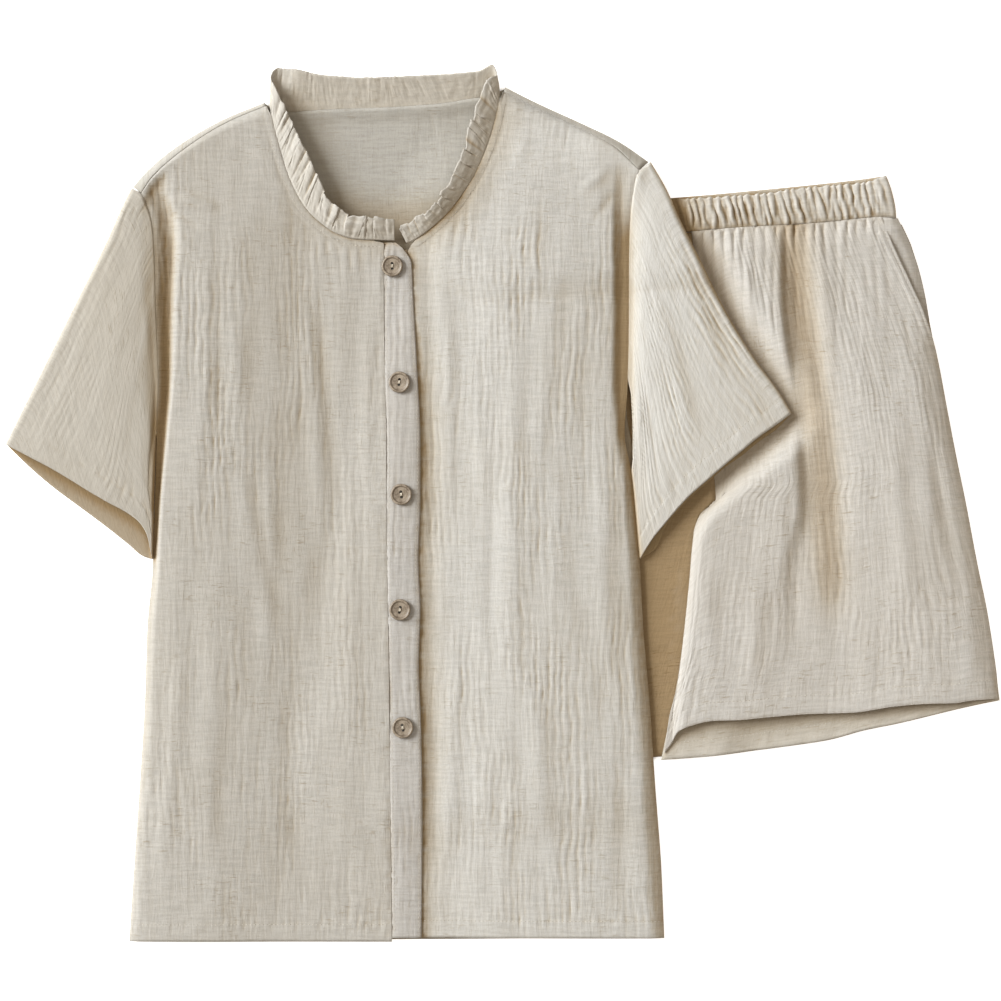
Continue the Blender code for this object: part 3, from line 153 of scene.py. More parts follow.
# Height of the top of the fronts over what they lie on, across the body, for each level y. dx is from the edge.
BODY_COLUMNS = (
    "y", "r_edge", "r_roll_dx", "r_roll", "r_fall_dx", "r_fall", "r_ridge_x", "r_ridge", "trough_x", "trough",
    "placket_r", "placket_l", "dip_x", "dip", "l_ridge_x", "l_ridge", "l_fall_dx", "l_fall", "l_roll_dx", "l_roll",
    "l_edge",
)
BODY = (
    (-350, 3.0, 2.0, 4.4, 8.0, 6.2, -245, 8.2, -165, 6.6, 7.2, 7.4, -50, 6.2, 5, 8.4, 12, 6.6, 4, 4.6, 3.0),
    (-250, 3.0, 2.0, 5.0, 8.0, 7.6, -240, 10.0, -145, 7.2, 8.2, 8.4, -51, 6.8, 6, 10.2, 13, 7.6, 4, 5.2, 3.0),
    (-110, 3.0, 2.0, 5.0, 7.0, 7.8, -232, 10.2, -140, 7.4, 8.2, 8.4, -52, 6.8, 8, 10.4, 12, 7.8, 4, 5.2, 3.0),
    (-50, 3.0, 2.0, 4.2, 7.0, 8.2, -228, 10.4, -140, 7.4, 8.2, 8.4, -52, 6.8, 9, 10.6, 10, 8.4, 4, 6.0, 3.4),
    (0, 3.0, 3.0, 3.4, 9.0, 9.0, -226, 10.6, -140, 7.6, 8.2, 8.4, -53, 6.8, 10, 10.8, 10, 8.8, 4, 6.4, 3.6),
    (58, 3.0, 4.0, 3.2, 10.0, 9.6, -224, 10.8, -142, 7.6, 8.2, 8.4, -53, 6.8, 10, 10.8, 10, 8.8, 3, 6.2, 4.6),
    (98, 3.2, 5.0, 3.2, 10.5, 10.0, -222, 10.8, -144, 7.8, 8.2, 8.4, -53, 7.0, 9, 10.8, 17, 8.8, 8, 4.6, 4.0),
    (162, 3.6, 6.0, 3.2, 15.0, 10.0, -222, 11.0, -146, 7.8, 8.4, 8.6, -53, 7.0, 9, 10.8, 17, 8.8, 8, 4.4, 4.0),
    (212, 4.2, 7.0, 3.6, 20.0, 9.6, -218, 10.6, -150, 8.0, 8.4, 8.6, -52, 7.4, 11, 10.6, 18, 8.8, 9, 5.0, 4.6),
    (249, 7.4, 8.0, 6.4, 24.0, 9.0, -214, 9.8, -150, 8.4, 8.6, 8.8, -50, 8.0, 14, 10.0, 24, 8.8, 12, 6.6, 7.2),
)
# Plackets. The right one is on top; x of its two edges by level.
PLACKET = (
    # y,      right_x, left_x
    (-350.0, -88.6, -65.2),
    (-243.0, -89.8, -64.4),
    (-178.0, -90.4, -65.4),
    (-127.0, -91.0, -67.2),
    (-85.0, -91.7, -66.0),
    (-45.0, -92.4, -67.6),
    (2.0, -92.7, -66.0),
    (50.0, -93.0, -66.0),
    (104.0, -94.0, -68.4),
    (138.0, -94.8, -70.2),
    (168.0, -95.1, -71.9),
    (192.0, -95.1, -73.2),
    (203.0, -95.1, -79.4),
    (208.4, -95.1, -85.6),
)
BUTTONS = (
    # x,     y
    (-88.4, 189.6),
    (-82.6, 96.8),
    (-81.2, 7.2),
    (-82.2, -84.8),
    (-80.0, -178.8),
)
# Sleeves. Each is a flat tube between the armhole and the cuff. t runs from the armhole (0) to the cuff (1).
SLEEVE_RIGHT_ARMHOLE = (
    # x,      y      from the shoulder to the underarm
    (-296.6, 252.4),
    (-289.4, 246.6),
    (-286.8, 240.6),
    (-284.3, 234.6),
    (-281.8, 226.0),
    (-280.1, 212.0),
    (-279.1, 190.0),
    (-278.3, 155.0),
    (-276.4, 98.0),
    (-277.9, 58.4),
)
SLEEVE_RIGHT_OUTER = ((-296.6, 252.4), (-302.8, 241.0), (-316.4, 210.4), (-340.4, 162.4), (-364.4, 114.4), (-380.4, 82.4), (-398.0, 47.2))
SLEEVE_RIGHT_INNER = ((-277.9, 58.4), (-280.6, 45.0), (-282.6, 27.0), (-283.8, 6.0), (-283.6, -6.0), (-281.6, -16.0), (-281.2, -30.0), (-281.6, -44.4))
SLEEVE_RIGHT_CUFF_FRONT = ((-398.0, 47.2), (-376.4, 36.0), (-361.2, 28.0), (-343.6, 17.6), (-330.8, 9.6), (-315.6, 0.8), (-299.6, -8.0), (-290.0, -16.0), (-284.2, -27.0), (-281.6, -44.4))
SLEEVE_RIGHT_CUFF_BACK = ((-398.0, 47.2), (-381.6, 31.2), (-361.2, 13.6), (-345.2, 1.6), (-320.4, -16.8), (-299.6, -33.2), (-287.4, -43.0), (-281.6, -44.4))
SLEEVE_LEFT_ARMHOLE = (
    (117.6, 272.6),
    (110.2, 266.0),
    (107.8, 260.0),
    (105.6, 251.6),
    (103.3, 234.0),
    (102.2, 214.0),
    (101.8, 188.0),
    (101.8, 150.0),
    (102.4, 100.0),
    (104.4, 58.4),
)
SLEEVE_LEFT_OUTER = ((117.6, 272.6), (130.0, 251.2), (140.4, 228.0), (158.0, 192.8), (177.6, 153.6), (202.8, 112.8), (218.4, 92.0), (230.8, 72.0))
SLEEVE_LEFT_INNER = ((104.4, 58.4), (104.2, 41.6), (104.4, 24.8), (106.3, 7.2), (108.0, -13.6), (110.0, -33.6), (111.2, -44.2))
SLEEVE_LEFT_CUFF_FRONT = ((230.8, 72.0), (218.8, 63.2), (202.8, 52.0), (191.2, 42.4), (177.6, 31.2), (160.1, 16.0), (149.2, 6.4), (130.0, -15.2), (117.0, -32.0), (111.2, -44.2))
SLEEVE_LEFT_CUFF_BACK = ((230.8, 72.0), (220.4, 60.8), (202.8, 48.0), (191.2, 38.4), (177.6, 28.8), (160.1, 13.6), (149.2, 4.0), (130.4, -18.4), (121.8, -36.8), (111.2, -44.2))
# Height of the sleeve's upper layer over what it lies on, at shares of the way across from the shoulder side.
SLEEVE_COLUMNS = ("t", "shoulder", "upper", "middle", "lower", "underarm")
SLEEVE_RIGHT_HEIGHTS = (
    (0.00, 8.0, 4.4, 4.2, 3.8, 3.6),
    (0.05, 8.6, 7.6, 7.0, 5.6, 4.8),
    (0.14, 9.0, 10.0, 10.2, 8.6, 6.6),
    (0.35, 8.6, 10.6, 11.0, 10.0, 7.8),
    (0.70, 7.6, 9.6, 10.2, 9.4, 7.4),
    (1.00, 5.2, 8.4, 9.4, 8.8, 6.0),
)
SLEEVE_LEFT_HEIGHTS = (
    (0.00, 8.0, 5.0, 4.6, 4.4, 4.4),
    (0.05, 8.6, 7.0, 6.4, 5.4, 5.0),
    (0.16, 9.0, 9.4, 9.2, 7.2, 5.8),
    (0.35, 8.8, 10.4, 10.4, 8.8, 6.6),
    (0.70, 7.6, 9.4, 9.8, 8.6, 6.4),
    (1.00, 5.0, 7.6, 8.4, 7.4, 5.4),
)
SLEEVE_EDGE_R = 4.0   # the rolled edge along the fold of the tube
# Neck frill: its seam and its free edge, round from the right front to the left front.
RUFFLE = (
    # s,   base_x,  base_y, base_z, edge_x,  edge_y, edge_z
    (0.000, -86.6, 210.2, 8.8, -86.6, 226.2, 13.5),
    (0.030, -102.0, 210.5, 8.4, -101.0, 227.2, 14.0),
    (0.060, -117.8, 211.4, 8.4, -113.0, 228.6, 14.0),
    (0.090, -131.8, 215.4, 8.4, -126.6, 232.0, 14.0),
    (0.130, -147.4, 225.8, 8.4, -138.6, 244.0, 14.2),
    (0.165, -158.6, 237.6, 8.4, -147.6, 260.8, 14.2),
    (0.205, -168.8, 256.4, 8.4, -156.0, 280.6, 14.0),
    (0.240, -174.8, 272.4, 8.4, -164.2, 296.0, 13.6),
    (0.285, -181.0, 294.0, 8.4, -171.6, 311.0, 13.2),
    (0.320, -185.0, 309.0, 8.0, -180.0, 327.0, 12.4),
    (0.340, -186.6, 316.4, 5.4, -185.9, 341.0, 8.0),
    (0.360, -182.8, 316.4, 2.6, -180.2, 348.6, 4.4),
    (0.400, -168.0, 312.8, 2.3, -165.0, 347.6, 3.4),
    (0.450, -141.0, 314.6, 1.9, -143.0, 343.0, 2.8),
    (0.520, -104.0, 315.8, 1.6, -104.4, 341.4, 2.6),
    (0.620, -50.0, 319.4, 1.6, -62.0, 343.0, 2.8),
    (0.670, -22.0, 324.2, 1.8, -20.0, 346.2, 3.4),
    (0.695, -6.6, 327.2, 2.6, -8.6, 351.6, 4.8),
    (0.710, -2.2, 328.0, 5.4, -5.0, 344.0, 8.0),
    (0.725, -3.4, 322.0, 8.0, -13.4, 338.0, 12.4),
    (0.760, -6.6, 305.0, 8.4, -20.6, 318.0, 13.2),
    (0.800, -13.0, 285.0, 8.4, -27.6, 298.0, 13.8),
    (0.840, -20.2, 267.0, 8.4, -34.0, 276.0, 14.0),
    (0.890, -34.2, 244.6, 8.4, -46.0, 251.0, 14.0),
    (0.925, -46.6, 229.8, 8.2, -55.4, 237.0, 13.6),
    (0.955, -59.8, 218.2, 7.6, -65.0, 230.0, 12.6),
    (0.980, -71.4, 210.2, 7.0, -76.0, 225.4, 11.6),
    (1.000, -77.0, 208.2, 6.8, -83.0, 219.6, 11.0),
)
# Shorts. v runs from the leg hem (0) to the waist seam (1). The left leg lies over the right one.
SHORTS_LEFT_FRONT = (
    # v,     inner_x, inner_y, outer_x, outer_y
    (0.00, 129.2, -199.2, 396.4, -156.4),
    (0.10, 132.8, -172.0, 394.6, -134.0),
    (0.20, 138.6, -148.0, 392.6, -118.0),
    (0.35, 144.2, -108.0, 388.0, -88.0),
    (0.50, 149.0, -62.0, 379.8, -48.0),
    (0.60, 152.4, -26.0, 374.0, -18.0),
    (0.66, 158.0, -9.0, 369.4, 6.0),
    (0.71, 170.6, 3.0, 364.0, 32.0),
    (0.79, 166.8, 48.0, 356.0, 74.0),
    (0.86, 162.4, 98.0, 345.6, 126.0),
    (0.91, 158.0, 150.0, 336.6, 152.0),
    (0.95, 154.8, 185.0, 324.4, 179.0),
    (0.98, 152.4, 205.0, 311.0, 208.0),
    (1.00, 151.2, 217.2, 302.8, 228.8),
)
SHORTS_LEFT_BACK = (
    (0.00, 126.6, -205.4, 397.8, -157.8),
    (0.10, 129.6, -176.0, 395.6, -136.0),
    (0.20, 136.0, -148.0, 393.2, -118.0),
    (0.35, 141.8, -108.0, 388.4, -88.0),
    (0.50, 146.6, -62.0, 380.2, -48.0),
    (0.60, 150.2, -26.0, 374.6, -18.0),
    (0.66, 156.4, -9.0, 370.0, 6.0),
    (0.71, 170.6, 3.0, 364.6, 32.0),
    (0.79, 166.8, 48.0, 356.4, 74.0),
    (0.86, 162.4, 98.0, 345.8, 126.0),
    (0.91, 158.0, 150.0, 341.0, 150.0),
    (0.95, 154.8, 185.0, 335.2, 178.0),
    (0.98, 152.4, 205.0, 327.6, 206.0),
    (1.00, 151.2, 217.2, 319.6, 223.6),
)
SHORTS_RIGHT = (
    # v,     outer_x, outer_y, inner_x, inner_y
    (0.00, -112.0, -217.0, 162.0, -200.4),
    (0.20, -96.0, -140.0, 163.0, -137.0),
    (0.38, -80.0, -70.0, 155.0, -82.0),
    (0.48, -69.0, -18.0, 145.0, -45.0),
    (0.56, -62.0, 5.0, 148.6, -14.0),
    (0.63, -55.0, 38.0, 168.0, 2.8),
    (0.76, -40.0, 96.0, 166.0, 48.0),
    (0.88, -27.0, 150.0, 159.4, 125.0),
    (1.00, -15.0, 205.6, 150.6, 217.2),
)
LEG_HEM_FRONT = (
    # x,      y      from the inner leg to the outseam
    (129.2, -199.2), (134.0, -193.4), (140.1, -182.4), (148.8, -177.9), (168.2, -173.6), (187.6, -173.0),
    (206.8, -171.2), (246.0, -168.2), (278.8, -167.2), (314.8, -162.0), (340.4, -160.0), (361.2, -159.6),
    (376.4, -157.4), (396.4, -156.4),
)
LEG_HEM_BACK = (
    (126.6, -205.4), (138.8, -204.6), (168.4, -202.2), (206.8, -197.4), (226.0, -194.9), (262.0, -189.4),
    (289.2, -182.0), (314.8, -176.8), (340.4, -170.7), (361.2, -165.6), (381.6, -161.0), (397.8, -157.8),
)
WAIST_SEAM = (
    (-15.0, 206.0), (70.0, 212.6), (150.8, 217.8), (171.6, 219.6), (201.2, 221.6), (230.0, 223.0), (259.6, 225.2),
    (288.4, 228.2), (302.8, 229.2), (314.4, 228.6),
)
BAND_TOP_FRONT = (
    (-18.8, 230.8), (70.0, 238.4), (134.8, 243.2), (152.4, 244.0), (191.2, 246.4), (210.8, 248.0), (230.0, 251.2), (259.6, 254.0),
    (288.4, 256.6), (306.4, 262.6),
)
BAND_TOP_BACK = (
    (-19.2, 234.6), (70.0, 242.4), (132.0, 246.6), (191.2, 251.2), (288.4, 260.2), (306.4, 262.6),
)
BAND_RIGHT_END = ((-15.0, 206.0), (-17.4, 220.0), (-18.8, 230.8))
BAND_LEFT_END = ((314.4, 228.6), (314.0, 234.4), (311.0, 249.2), (306.4, 262.6))
# Height of the left leg's front, across the leg, for each level. dx is from the edge.
LEG_COLUMNS = (
    "y", "i_edge", "i_roll_dx", "i_roll", "i_top_dx", "i_top", "ridge_x", "ridge", "fold_x", "fold", "trough_x", "trough",
    "step_x", "step", "o_ridge_x", "o_ridge", "o_top_dx", "o_top", "o_roll_dx", "o_roll", "o_edge",
)
LEG = (
    (-200, 5.9, 2.5, 8.4, 9, 10.4, 176, 10.4, 214, 9.0, 258, 8.0, 300, 8.8, 330, 8.8, 18, 6.8, 5, 4.6, 2.7),
    (-130, 5.9, 2.5, 9.0, 9, 11.4, 180, 11.2, 220, 9.2, 266, 8.0, 304, 9.6, 334, 9.6, 16, 7.2, 5, 4.8, 2.7),
    (-60, 5.9, 2.5, 9.4, 9, 12.0, 190, 11.6, 228, 9.6, 262, 8.2, 286, 10.0, 318, 10.4, 14, 7.6, 5, 5.0, 2.7),
    (0, 5.9, 3.0, 9.0, 10, 11.6, 212, 11.8, 238, 10.2, 256, 8.2, 276, 10.2, 306, 10.8, 14, 7.8, 5, 5.2, 2.7),
    (60, 6.0, 3.0, 7.6, 12, 9.4, 222, 12.0, 238, 9.6, 254, 7.8, 274, 10.2, 300, 10.8, 14, 8.0, 5, 5.4, 2.7),
    (110, 6.4, 3.0, 7.2, 14, 8.6, 216, 12.0, 232, 8.6, 246, 7.8, 268, 10.4, 292, 10.6, 14, 8.2, 5, 5.6, 2.9),
    (160, 6.8, 3.0, 7.2, 14, 8.4, 216, 11.4, 231, 7.8, 242, 8.4, 260, 10.2, 284, 10.2, 14, 9.0, 5, 8.6, 8.2),
    (210, 6.8, 3.0, 7.0, 14, 8.0, 216, 9.4, 229, 7.4, 238, 8.0, 254, 8.8, 278, 8.8, 14, 8.6, 5, 8.4, 8.2),
    (232, 6.6, 3.0, 6.8, 14, 7.4, 216, 8.0, 229, 7.2, 238, 7.4, 252, 7.8, 276, 7.8, 14, 7.8, 5, 7.8, 7.6),
)
POCKET_LEFT = (
    # v,    inner_x, inner_y, outer_x, outer_y
    (0.00, 326.0, 141.0, 341.6, 147.0),
    (0.30, 318.0, 160.0, 337.6, 168.0),
    (0.60, 307.0, 184.0, 332.2, 190.0),
    (1.00, 292.0, 224.0, 319.4, 223.4),
)
POCKET_RIGHT = (
    # v,    outer_x, outer_y, inner_x, inner_y
    (0.00, -31.0, 138.0, -30.4, 139.0),
    (0.50, -23.4, 172.0, -17.6, 172.0),
    (1.00, -15.0, 205.0, -5.0, 205.4),
)


# ---------------------------------------------------------------- small tools
def smooth(t):
    t = np.clip(t, 0.0, 1.0)
    return t * t * (3.0 - 2.0 * t)


def monotone(x, xs, ys):
    """A smooth curve through the knots (xs, ys) that never overshoots them. Knots may differ from point to point."""
    x = np.asarray(x, float)
    xs = np.asarray(xs, float)
    ys = np.asarray(ys, float)
    shape = x.shape + (xs.shape[-1],)
    xs = np.broadcast_to(xs, shape)
    ys = np.broadcast_to(ys, shape)
    h = np.diff(xs, axis=-1)
    d = np.diff(ys, axis=-1) / h
    w1 = 2.0 * h[..., 1:] + h[..., :-1]
    w2 = h[..., 1:] + 2.0 * h[..., :-1]
    same = d[..., 1:] * d[..., :-1] > 0.0
    before = np.where(same, d[..., :-1], 1.0)
    after = np.where(same, d[..., 1:], 1.0)
    inner = np.where(same, (w1 + w2) / (w1 / before + w2 / after), 0.0)
    m = np.concatenate([d[..., :1], inner, d[..., -1:]], axis=-1)
    k = np.clip((x[..., None] >= xs[..., 1:-1]).sum(axis=-1), 0, shape[-1] - 2)

    def take(a):
        return np.take_along_axis(a, k[..., None], axis=-1)[..., 0]

    step = take(h)
    t = np.clip((x - take(xs[..., :-1])) / step, 0.0, 1.0)
    y0, y1 = take(ys[..., :-1]), take(ys[..., 1:])
    m0, m1 = take(m[..., :-1]) * step, take(m[..., 1:]) * step
    t2, t3 = t * t, t * t * t
    return y0 * (2 * t3 - 3 * t2 + 1) + m0 * (t3 - 2 * t2 + t) + y1 * (3 * t2 - 2 * t3) + m1 * (t3 - t2)


def track(rows, first, v):
    """The point (x, y) of a table of stations at v, from the two columns that start at first."""
    rows = np.array(rows)
    return np.stack([monotone(v, rows[:, 0], rows[:, first + i]) for i in (0, 1)], axis=-1)


def along(points, u):
    """The point (x, y) at the share u of the length of a smooth curve through the points."""
    points = np.array(points)
    run = np.concatenate([[0.0], np.cumsum(np.linalg.norm(np.diff(points, axis=0), axis=1))])
    return np.stack([monotone(np.asarray(u) * run[-1], run, points[:, i]) for i in (0, 1)], axis=-1)


def coons(bottom, top, left, right):
    """A patch between four edges, (nu, 2), (nu, 2), (nv, 2), (nv, 2), with its own shares of the way as weights."""

    def share(edge):
        run = np.concatenate([[0.0], np.cumsum(np.linalg.norm(np.diff(edge, axis=0), axis=1))])
        return run / run[-1]

    u = 0.5 * (share(bottom) + share(top))[None, :, None]
    v = 0.5 * (share(left) + share(right))[:, None, None]
    b, t, l, r = bottom[None], top[None], left[:, None], right[:, None]
    corners = (1 - u) * (1 - v) * bottom[0] + u * (1 - v) * bottom[-1] + (1 - u) * v * top[0] + u * v * top[-1]
    return (1 - v) * b + v * t + (1 - u) * l + u * r - corners


def outside(x, y, polygon):
    """The distance from each point to the polygon, 0 inside it."""
    p = np.array(polygon, float)
    q = np.roll(p, -1, axis=0)
    best = np.full(x.shape, np.inf)
    inside = np.zeros(x.shape, bool)
    for (ax, ay), (bx, by) in zip(p, q):
        ex, ey = bx - ax, by - ay
        if not (ex or ey):
            continue
        t = np.clip(((x - ax) * ex + (y - ay) * ey) / (ex * ex + ey * ey), 0.0, 1.0)
        best = np.minimum(best, np.hypot(x - ax - t * ex, y - ay - t * ey))
        crosses = (ay > y) != (by > y)
        at = ax + (y - ay) * ex / (ey if ey else 1e-9)
        inside ^= crosses & (x < at)
    return np.where(inside, 0.0, best)


def edge_points(rows, first):
    return [(row[first], row[first + 1]) for row in rows]


# ---------------------------------------------------------------- what lies under what
RIGHT_LEG = edge_points(SHORTS_RIGHT, 1) + edge_points(SHORTS_RIGHT, 3)[::-1]
RIGHT_LEG_LOW = edge_points(SHORTS_RIGHT[:4], 1) + edge_points(SHORTS_RIGHT[:4], 3)[::-1]
SHORTS_OUTLINE = edge_points(SHORTS_RIGHT, 1) + [(302.8, 229.6), (366.0, 32.0), (396.4, -156.4), (129.2, -199.2)]
BAND_OUTLINE = [(-15.0, 205.0), (150.0, 216.0), (314.0, 227.0), (307.0, 262.0), (130.0, 248.0), (-19.4, 236.0)]
SHIRT_OUTLINE = (
    [(-300.0, -352.0)] + edge_points(FRONT_LEFT[:6], 1) + list(SLEEVE_LEFT_CUFF_BACK[::-1]) + list(SLEEVE_LEFT_OUTER[::-1])
    + [(0.0, 336.0), (-300.0, 336.0)]
)


def support(x, y):
    """The height that the shirt lies on: the surface, the pressed shorts and their waistband."""
    shorts = SHORTS_STACK * (1.0 - smooth((outside(x, y, SHORTS_OUTLINE) - DRAPE_REACH) / DRAPE_RAMP))
    band = BAND_STACK * (1.0 - smooth((outside(x, y, BAND_OUTLINE) - DRAPE_REACH) / DRAPE_RAMP))
    return np.maximum(shorts, band)


def leg_support(x, y):
    """The height that the left leg lies on: the surface, or the right leg below the crotch."""
    return SHORTS_STACK * (1.0 - smooth((outside(x, y, RIGHT_LEG_LOW) - 13.0) / 24.0))


def body_height(x, y):
    """The top of the shirt's fronts over what they lie on."""
    level = np.minimum(y, 249.0)
    rows = np.array(BODY, float)
    right, left = np.array(FRONT_RIGHT), np.array(FRONT_LEFT)
    low = monotone(level, right[:, 2], right[:, 1])
    high = monotone(level, left[:, 2], left[:, 1])
    band = np.array(PLACKET)
    placket_r = monotone(np.minimum(level, 200.0), band[:, 0], band[:, 1])
    placket_l = monotone(np.minimum(level, 190.0), band[:, 0], band[:, 2])
    at = {name: monotone(level, rows[:, 0], rows[:, i]) for i, name in enumerate(BODY_COLUMNS) if i}
    knots = (
        (low, at["r_edge"]), (low + at["r_roll_dx"], at["r_roll"]), (low + at["r_fall_dx"], at["r_fall"]),
        (at["r_ridge_x"], at["r_ridge"]), (at["trough_x"], at["trough"]), (placket_r, at["placket_r"]),
        (placket_l, at["placket_l"]), (at["dip_x"], at["dip"]), (at["l_ridge_x"], at["l_ridge"]),
        (high - at["l_fall_dx"], at["l_fall"]), (high - at["l_roll_dx"], at["l_roll"]), (high, at["l_edge"]),
    )
    xs = np.stack(np.broadcast_arrays(*[k for k, _ in knots]), axis=-1)
    hs = np.stack(np.broadcast_arrays(*[h for _, h in knots]), axis=-1)
    height = monotone(x, xs, hs)
    upper = smooth((y - 240.0) / 45.0)
    return height * (1.0 - upper) + SHOULDER_H * upper


def leg_height(x, y):
    """The top of the left leg's front."""
    rows = np.array(LEG, float)
    level = np.clip(y, rows[0, 0], rows[-1, 0])
    panel = np.array(SHORTS_LEFT_FRONT)
    inner = monotone(level, panel[:, 2], panel[:, 1])
    outer = monotone(level, panel[:, 4], panel[:, 3])
    at = {name: monotone(level, rows[:, 0], rows[:, i]) for i, name in enumerate(LEG_COLUMNS) if i}
    knots = (
        (inner, at["i_edge"]), (inner + at["i_roll_dx"], at["i_roll"]), (inner + at["i_top_dx"], at["i_top"]),
        (at["ridge_x"], at["ridge"]), (at["fold_x"], at["fold"]), (at["trough_x"], at["trough"]),
        (at["step_x"], at["step"]), (at["o_ridge_x"], at["o_ridge"]),
        (outer - at["o_top_dx"], at["o_top"]), (outer - at["o_roll_dx"], at["o_roll"]), (outer, at["o_edge"]),
    )
    xs = np.stack(np.broadcast_arrays(*[k for k, _ in knots]), axis=-1)
    hs = np.stack(np.broadcast_arrays(*[h for _, h in knots]), axis=-1)
    full = monotone(x, xs, hs)
    # It is pressed flat under the sleeve, and stays over the back and over the right leg where it crosses that.
    pressed = SHORTS_STACK - LAYER_GAP
    height = pressed + (full - pressed) * smooth((outside(x, y, SHIRT_OUTLINE) - PRESS_REACH) / PRESS_RAMP)
    return np.maximum(height, 1.3 * leg_support(x, y) + 2.0 * WALL + LAYER_GAP)


# ---------------------------------------------------------------- panels as grids of mid-surface points
def front_right(u, v):
    left, right = track(FRONT_RIGHT, 1, v), track(FRONT_RIGHT, 3, v)
    bottom = left[0] + (right[0] - left[0]) * u[:, None]
    seam = track(SHOULDER_RIGHT, 1, u)
    seam = seam + (left[-1] - seam[0]) * (1 - u[:, None]) + (right[-1] - seam[-1]) * u[:, None]
    p = coons(bottom, seam, left, right)
    x, y = p[..., 0], p[..., 1]
    return np.dstack([x, y, support(x, y) + body_height(x, y) - WALL / 2])


def front_left(u, v):
    left, right = track(FRONT_LEFT, 3, v), track(FRONT_LEFT, 1, v)
    bottom = left[0] + (right[0] - left[0]) * u[:, None]
    seam = track(SHOULDER_LEFT, 1, 1.0 - u)
    seam = seam + (left[-1] - seam[0]) * (1 - u[:, None]) + (right[-1] - seam[-1]) * u[:, None]
    p = coons(bottom, seam, left, right)
    x, y = p[..., 0], p[..., 1]
    drop = PLACKET_DROP * (1.0 - smooth((x + 62.0) / 14.0)) * (1.0 - smooth((y - 205.0) / 25.0))
    return np.dstack([x, y, support(x, y) + body_height(x, y) - drop - WALL / 2])


def back_outline(v, side):
    """The back's side and armhole: the front's own edge, a little inside it, and out to the fold at the tip."""
    edge = track(FRONT_RIGHT if side < 0 else FRONT_LEFT, 1, v)
    edge[:, 0] -= side * 0.3
    tip = np.array(SHOULDER_RIGHT[0][3:5]) + (3.0, -2.0) if side < 0 else np.array(SHOULDER_LEFT[0][3:5]) + (-6.3, -2.6)
    reach = smooth((v - 0.975) / 0.025)[:, None]
    if side > 0:
        edge[:, 0] += 5.6 * np.exp(-(((edge[:, 1] - 48.0) / 20.0) ** 2))
    return edge + (tip - edge[-1]) * reach


def back_top(u_right, u_neck, u_left):
    """The top of the part of the back that lies flat: fold of the shoulder, neck, fold of the other shoulder."""
    right = track(SHOULDER_RIGHT, 3, u_right)
    left = track(SHOULDER_LEFT, 3, 1.0 - u_left)
    right = right + np.array((3.0, -2.0)) * (1.0 - 0.55 * u_right[:, None])
    left = left + np.array((-3.0, -2.0)) * (0.45 + 0.55 * u_left[:, None]) + (-3.3, -0.6) * u_left[:, None] ** 6
    neck = along(BACK_NECK, u_neck)
    return right, neck, left


def shirt_back(ur, un, ul, v, roll):
    """The flat part of the back as a grid, and the two rolled strips over the shoulders that join its top row."""
    n_right, n_neck = len(ur) - 1, len(un) - 1
    right, neck, left = back_top(ur, un, ul)
    neck = neck + (right[-1] - neck[0]) * (1 - un[:, None]) ** 6 + (left[0] - neck[-1]) * un[:, None] ** 6
    top = np.concatenate([right, neck[1:], left[1:]])
    lo, hi = back_outline(v, -1), back_outline(v, 1)
    lo = lo + (top[0] - lo[-1]) * smooth((v - 0.9) / 0.1)[:, None]
    hi = hi + (top[-1] - hi[-1]) * smooth((v - 0.9) / 0.1)[:, None]
    run = np.concatenate([[0.0], np.cumsum(np.linalg.norm(np.diff(top, axis=0), axis=1))])
    share = (run / run[-1])[:, None]
    bottom = lo[0] + (hi[0] - lo[0]) * share
    p = coons(bottom, top, lo, hi)
    x, y = p[..., 0], p[..., 1]
    flat = np.dstack([x, y, support(x, y) + WALL / 2])
    strips = []
    for table, columns, shares in ((SHOULDER_RIGHT, slice(0, n_right + 1), ur), (SHOULDER_LEFT, slice(n_right + n_neck, None), 1.0 - ul)):
        seam, fold = track(table, 1, shares), track(table, 3, shares)
        outward = (fold - seam) / np.linalg.norm(fold - seam, axis=1)[:, None]
        seam = seam + outward * SEAM_GAP
        base = flat[-1, columns]
        floor = support(fold[:, 0], fold[:, 1])
        rows = []
        for share_out, rise in roll:
            # share_out: 0 at the flat part, 1 at the fold, 2 at the seam
            if share_out <= 1.0:
                xy = base[:, :2] + (fold - base[:, :2]) * share_out
            else:
                xy = fold + (seam - fold) * (share_out - 1.0)
            low = base[:, 2] + (floor + WALL / 2 - base[:, 2]) * min(share_out, 1.0)
            z = low + (SHOULDER_H - WALL) * rise
            rows.append(np.column_stack([xy, z]))
        strips.append((columns, np.array(rows)))
    return flat, strips


